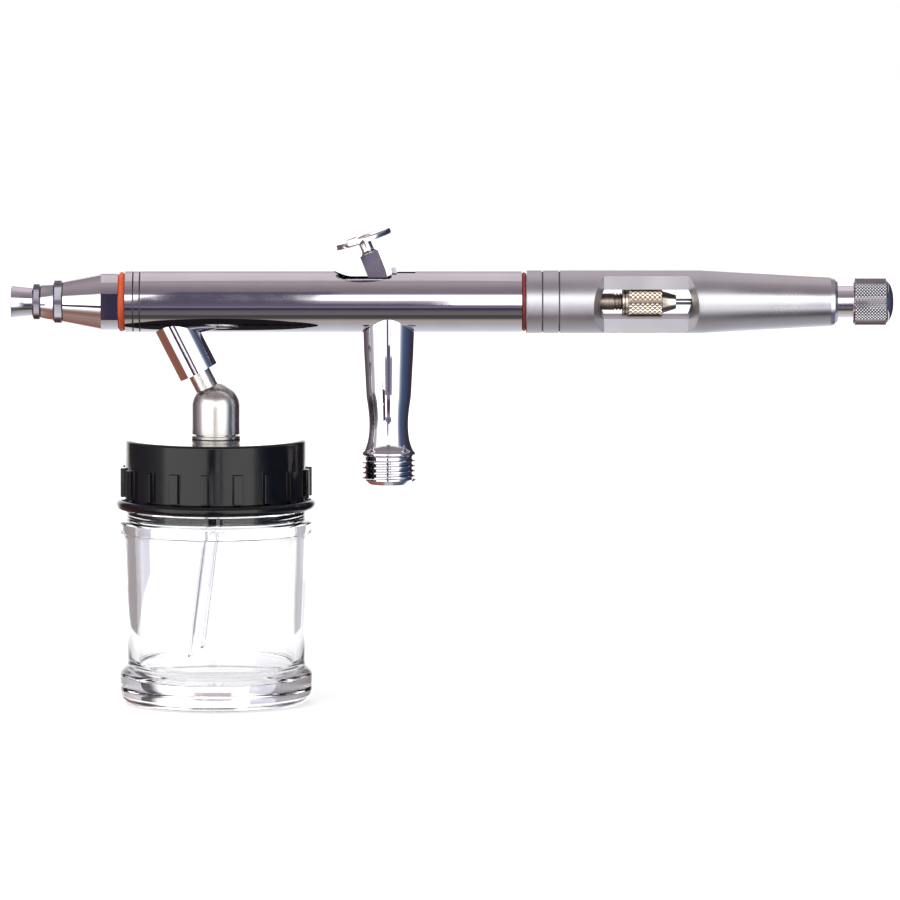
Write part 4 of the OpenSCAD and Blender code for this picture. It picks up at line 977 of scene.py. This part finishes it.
bpy.ops.object.select_all(action="DESELECT")
bpy.ops.mesh.primitive_plane_add(size=8)
floor = bpy.context.object
floor.name = "studio_floor"
place(floor, 0, 0, jar_low - 0.02)
paper = bpy.data.materials.new("white_paper_floor")
tree = bare_tree(paper)
seen = eye_rays(tree)[1]
sheet = add_node(tree, "BsdfDiffuse", {"Color": colour("C4C4C4")})
glow = add_node(tree, "Emission", {"Color": colour("FFFFFF"), "Strength": 0.62})
lit = add_node(tree, "AddShader", {0: sheet, 1: glow})
mixed = add_node(tree, "MixShader", {0: seen, 1: sheet, 2: lit})
add_node(tree, "OutputMaterial", {"Surface": mixed})
floor.data.materials.append(paper)
floor.visible_glossy = False
print("floor at", round(jar_low, 2), "mm")

# %% [markdown]
# ## The room that the chrome reflects
# A polished barrel shows the room as a stack of level bands, and its colours come from nowhere else. The
# bands were read off the photograph: a round surface turns its angle into twice that angle of room. The world
# paints them by direction, in three parts: the strip straight ahead where the photographer stands, the walls
# by their bearing, and the ceiling and the table by their height. The table is brown wood on the left and
# bluish dark on the right. Plain light and a white ground are kept for other rays.

# %% World
world = bpy.data.worlds.new("studio_room")
bpy.context.scene.world = world
tree = bare_tree(world)
looking = add_node(tree, "TexCoord").outputs["Generated"]
look = add_node(tree, "SeparateXYZ", {"Vector": looking}).outputs
ahead = maths(tree, "MULTIPLY", look["Y"], -1.0)


def turn_part(angle):
    """Turns an angle from -180 to 180 degrees into 0 to 1."""
    return maths(tree, "MULTIPLY_ADD", angle, 1 / math.tau, 0.5)


def room_bands(part, bands):
    """A colour ramp whose stops are given in degrees."""
    stops = [((degrees / 360) + 0.5, text) for degrees, text in bands]
    return add_node(tree, "ValToRGB", {"Fac": part}, stops=stops)


over = turn_part(maths(tree, "ARCTAN2", look["Z"], ahead))
bearing = turn_part(maths(tree, "ARCTAN2", look["X"], ahead))
height = turn_part(maths(tree, "ARCSINE", look["Z"]))
strip = room_bands(over, [
    (-180, "FFFFFF"), (-172, "E0DEE0"), (-150, "D5D3D2"), (-126, "C0C0C6"), (-98, "A9ADB6"), (-87, "A19C98"),
    (-76, "A29A92"), (-68, "8E8784"), (-62, "4A4644"), (-50, "403C40"), (-44, "66645F"), (-31, "58555E"),
    (-26, "3A3040"), (-19, "4A3E50"), (-16, "8A8098"), (-13, "5A5468"), (-6, "5A5468"), (0, "8F8790"),
    (6, "B4ADB3"), (10, "FFFFFF"), (28, "FFFFFF"), (32, "7D7885"), (43, "766B76"), (59, "857B7F"),
    (76, "9A9095"), (85, "958B90"), (89, "C0B7BC"), (130, "C6BEC3"), (152, "A39A9F"), (164, "9A9196"),
    (171, "FFFFFF"), (180, "FFFFFF"),
])
walls = room_bands(bearing, [
    (-180, "FFFFFF"), (-150, "F2EFEF"), (-142, "483F42"), (-118, "5E565E"), (-100, "7A7380"), (-86, "9A97A0"),
    (-74, "B8B6BB"), (-66, "FFFFFF"), (50, "FFFFFF"), (60, "7E8A9C"), (72, "475673"), (90, "3A4862"),
    (120, "352F3E"), (150, "352F36"), (158, "F4F4F6"), (180, "FFFFFF"),
])
CEILING = [(-28, "FFFFFF"), (29, "FFFFFF"), (35, "7F7781"), (50, "837B80"), (70, "958C90"), (90, "A79EA2")]
left_height = room_bands(height, [
    (-90, "B4ADAC"), (-76, "A39A97"), (-60, "8E7166"), (-48, "835F56"), (-40, "968A86"),
    (-34, "D9D5D4")] + CEILING)
right_height = room_bands(height, [
    (-90, "A2A1A8"), (-76, "80818C"), (-60, "60626F"), (-48, "4A5064"), (-40, "7C7E88"),
    (-34, "D5D5D9")] + CEILING)
beside_height = room_bands(height, [(-90, "B4ADAC"), (-70, "8E7166"), (-40, "7F5245"),
    (-10, "86594A")] + CEILING[1:])
sideways = remap(tree, look["X"], -0.15, 0.15)
far_parts = blend(tree, sideways, left_height, right_height)
beside = remap(tree, bearing, 0.5 - 70 / 360, 0.5 - 60 / 360, 1.0, 0.0)
ceiling_and_table = blend(tree, beside, far_parts, beside_height)
above = remap(tree, height, 0.5 + 27 / 360, 0.5 + 36 / 360)
table_edge = maths(tree, "MULTIPLY_ADD", beside, 16 / 360, 0.5 - 27 / 360)
drop = maths(tree, "SUBTRACT", table_edge, height)
below = remap(tree, drop, 0.0, 5 / 360)
off_walls = maths(tree, "MAXIMUM", above, below)
room = blend(tree, off_walls, walls, ceiling_and_table)
side = maths(tree, "ABSOLUTE", look["X"])
off_strip = remap(tree, side, 0.12, 0.17)
mirrored = blend(tree, off_strip, strip, room)
path, seen = eye_rays(tree)
# 1.8 undoes what chrome takes, which gives back 0.57 of the light, and the lamps behind the white bands are
# brighter
grey = add_node(tree, "RGBToBW", {"Color": mirrored})
bright_bands = remap(tree, grey, 0.85, 1.0, 1.8, 3.0)
mirror_light = add_node(tree, "Background", {"Color": mirrored, "Strength": bright_bands})
plain_light = add_node(tree, "Background", {"Color": colour("F7F7FA"), "Strength": 0.75})
white_ground = add_node(tree, "Background", {"Color": colour("FFFFFF"), "Strength": 1.0})
not_mirror = add_node(tree, "MixShader", {0: seen, 1: plain_light, 2: white_ground})
everything = add_node(tree, "MixShader", {0: path["Is Glossy Ray"], 1: not_mirror, 2: mirror_light})
add_node(tree, "OutputWorld", {"Surface": everything})
print("studio room painted for mirrors")

# %% [markdown]
# ## Cards and the lamp
# Left of the valve the barrel's white band is missing, because something dark stood by the camera there. A
# tall dark card that only mirrors can see does the same. Clear glass shows its outline by bending light from
# the sides, so pale grey cards stand left and right that only glass can see. One large soft lamp makes the
# floor's shadow.

# %% Cards and lamp
def studio_card(name, middle, width, tall, turn, text, strength, seen_by):
    """An upright card that one kind of ray sees. Places in metres, its turn about Z in degrees."""
    bpy.ops.object.select_all(action="DESELECT")
    bpy.ops.mesh.primitive_plane_add(size=1)
    card = bpy.context.object
    card.name = name
    card.scale = (width, tall, 1)
    card.rotation_euler = (math.radians(90), 0, math.radians(turn))
    card.location = middle
    bpy.ops.object.transform_apply(location=True, rotation=True, scale=True)
    cloth = bpy.data.materials.new(name)
    tree = bare_tree(cloth)
    shine = add_node(tree, "Emission", {"Color": colour(text), "Strength": strength})
    add_node(tree, "OutputMaterial", {"Surface": shine})
    card.data.materials.append(cloth)
    for ray in ("camera", "diffuse", "glossy", "transmission", "volume_scatter", "shadow"):
        setattr(card, "visible_" + ray, ray == seen_by)


for card in (
    ("dark_coat_card", (-0.0720, -1.7, 0.69), 0.0670, 1.62, 0, "54505F", 1.8, "glossy"),
    ("white_umbrella_card", (0.086, -1.7, 0.05), 0.148, 0.56, 0, "FFFFFF", 3.0, "glossy"),
    ("dark_doorway_card", (-0.1149, -1.7, -0.645), 0.0102, 0.38, 0, "262540", 1.6, "glossy"),
    ("tripod_card", (-0.77, -1.7, -0.55), 0.5, 0.38, 0, "4A3A48", 1.8, "glossy"),
    ("photographer_left_card", (-0.31, -1.7, -0.37), 0.38, 0.16, 0, "A29CB8", 1.0, "glossy"),
    ("photographer_right_card", (0.34, -1.7, -0.37), 0.36, 0.16, 0, "A29CB8", 1.0, "glossy"),
    ("left_near_glass_card", (-0.111, 0.102, 0.01), 0.136, 0.1, 90, "A8A2A4", 1.0, "transmission"),
    ("left_far_glass_card", (-0.111, 0.245, 0.01), 0.15, 0.1, 90, "DDDCE8", 1.0, "transmission"),
    ("right_glass_card", (0.049, 0.0875, 0.01), 0.075, 0.1, 90, "CFCDD2", 1.0, "transmission"),
):
    studio_card(*card)
lamp_data = bpy.data.lights.new("soft_overhead_lamp", "AREA")
lamp_data.shape, lamp_data.size, lamp_data.energy = "DISK", 1.4, 14
lamp = bpy.data.objects.new("soft_overhead_lamp", lamp_data)
bpy.context.scene.collection.objects.link(lamp)
lamp.location = (-0.5, -0.5, 1.5)
lamp.rotation_euler = (Vector((0, 0, 0)) - lamp.location).to_track_quat("-Z", "Y").to_euler()
lamp.visible_glossy = False
bpy.context.scene.view_settings.view_transform = "Standard"
print("cards and lamp placed")

# %% [markdown]
# ## How true the picture is
# Each image point is compared with the finished vertices that show. The glass jar hides nothing, because it
# is clear. A groove is found by the ray: the place on the surface at its pixel should lie at the groove's
# station.

# %% Print the points
replaced = {node: piece for node, (piece, slot) in DRESSED.items()}
shown = {node: replaced.get(node, nodes[node]) for node in nodes}
everything_solid = carrier([piece for node, piece in shown.items() if node != "glass_jar"])
pixels = {node: shown_pixels([shown[node]], everything_solid) for node in (
    "needle_cap", "preset_knob", "trigger", "glass_jar", "front_o_ring", "rear_o_ring", "bottle_elbow", "bottle_cap",
    "chuck_nut", "siphon_tube")}
found_edges = {
    "object_left": min(pixels["needle_cap"][0]), "object_right": max(pixels["preset_knob"][0]),
    "object_top": min(pixels["trigger"][1]), "object_bottom": max(pixels["glass_jar"][1]),
    "trigger_pad_left": min(pixels["trigger"][0]),
    "chuck_nut_left": min(pixels["chuck_nut"][0]),
    "preset_knob_bottom": max(pixels["preset_knob"][1]), "bottle_elbow_top": min(pixels["bottle_elbow"][1]),
    "bottle_cap_left": min(pixels["bottle_cap"][0]), "bottle_cap_right": max(pixels["bottle_cap"][0]),
    "glass_jar_left": min(pixels["glass_jar"][0]), "glass_jar_right": max(pixels["glass_jar"][0]),
    "siphon_tube_bottom": max(pixels["siphon_tube"][1]),
}
report = {}
for name, point in EDGES.items():
    axis = "y" if name.endswith(("top", "bottom")) else "x"
    found = found_edges[name]
    report[name] = {"point": point, "shows": round(found, 1), "off_" + axis: round(found - point, 1)}
piece_of = {"orange_ring": "front_o_ring", "red_ring": "rear_o_ring"}
for name, (x, y) in MIDDLES.items():
    across, down = pixels[piece_of.get(name, name)]
    middle = (min(across) + max(across)) / 2, (min(down) + max(down)) / 2
    report[name] = {"point": [x, y], "shows": [round(c, 1) for c in middle],
                    "off_x": round(middle[0] - x, 1), "off_y": round(middle[1] - y, 1)}
for name, node, station in (
        ("barrel_groove", "barrel", face_x + 1.425), ("handle_groove", "handle", handle_x + 2.925)):
    x, y = GROOVES[name]
    met = place_on(carrier([shown[node]]), x, y)
    groove_pixel = pixel_of(Vector((station * MM, met.y, met.z)))
    report[name] = {"point": [x, y], "shows": [round(c, 1) for c in groove_pixel],
                    "off_x": round(groove_pixel[0] - x, 1), "off_y": round(groove_pixel[1] - y, 1)}
for name, line in report.items():
    print(name, line)
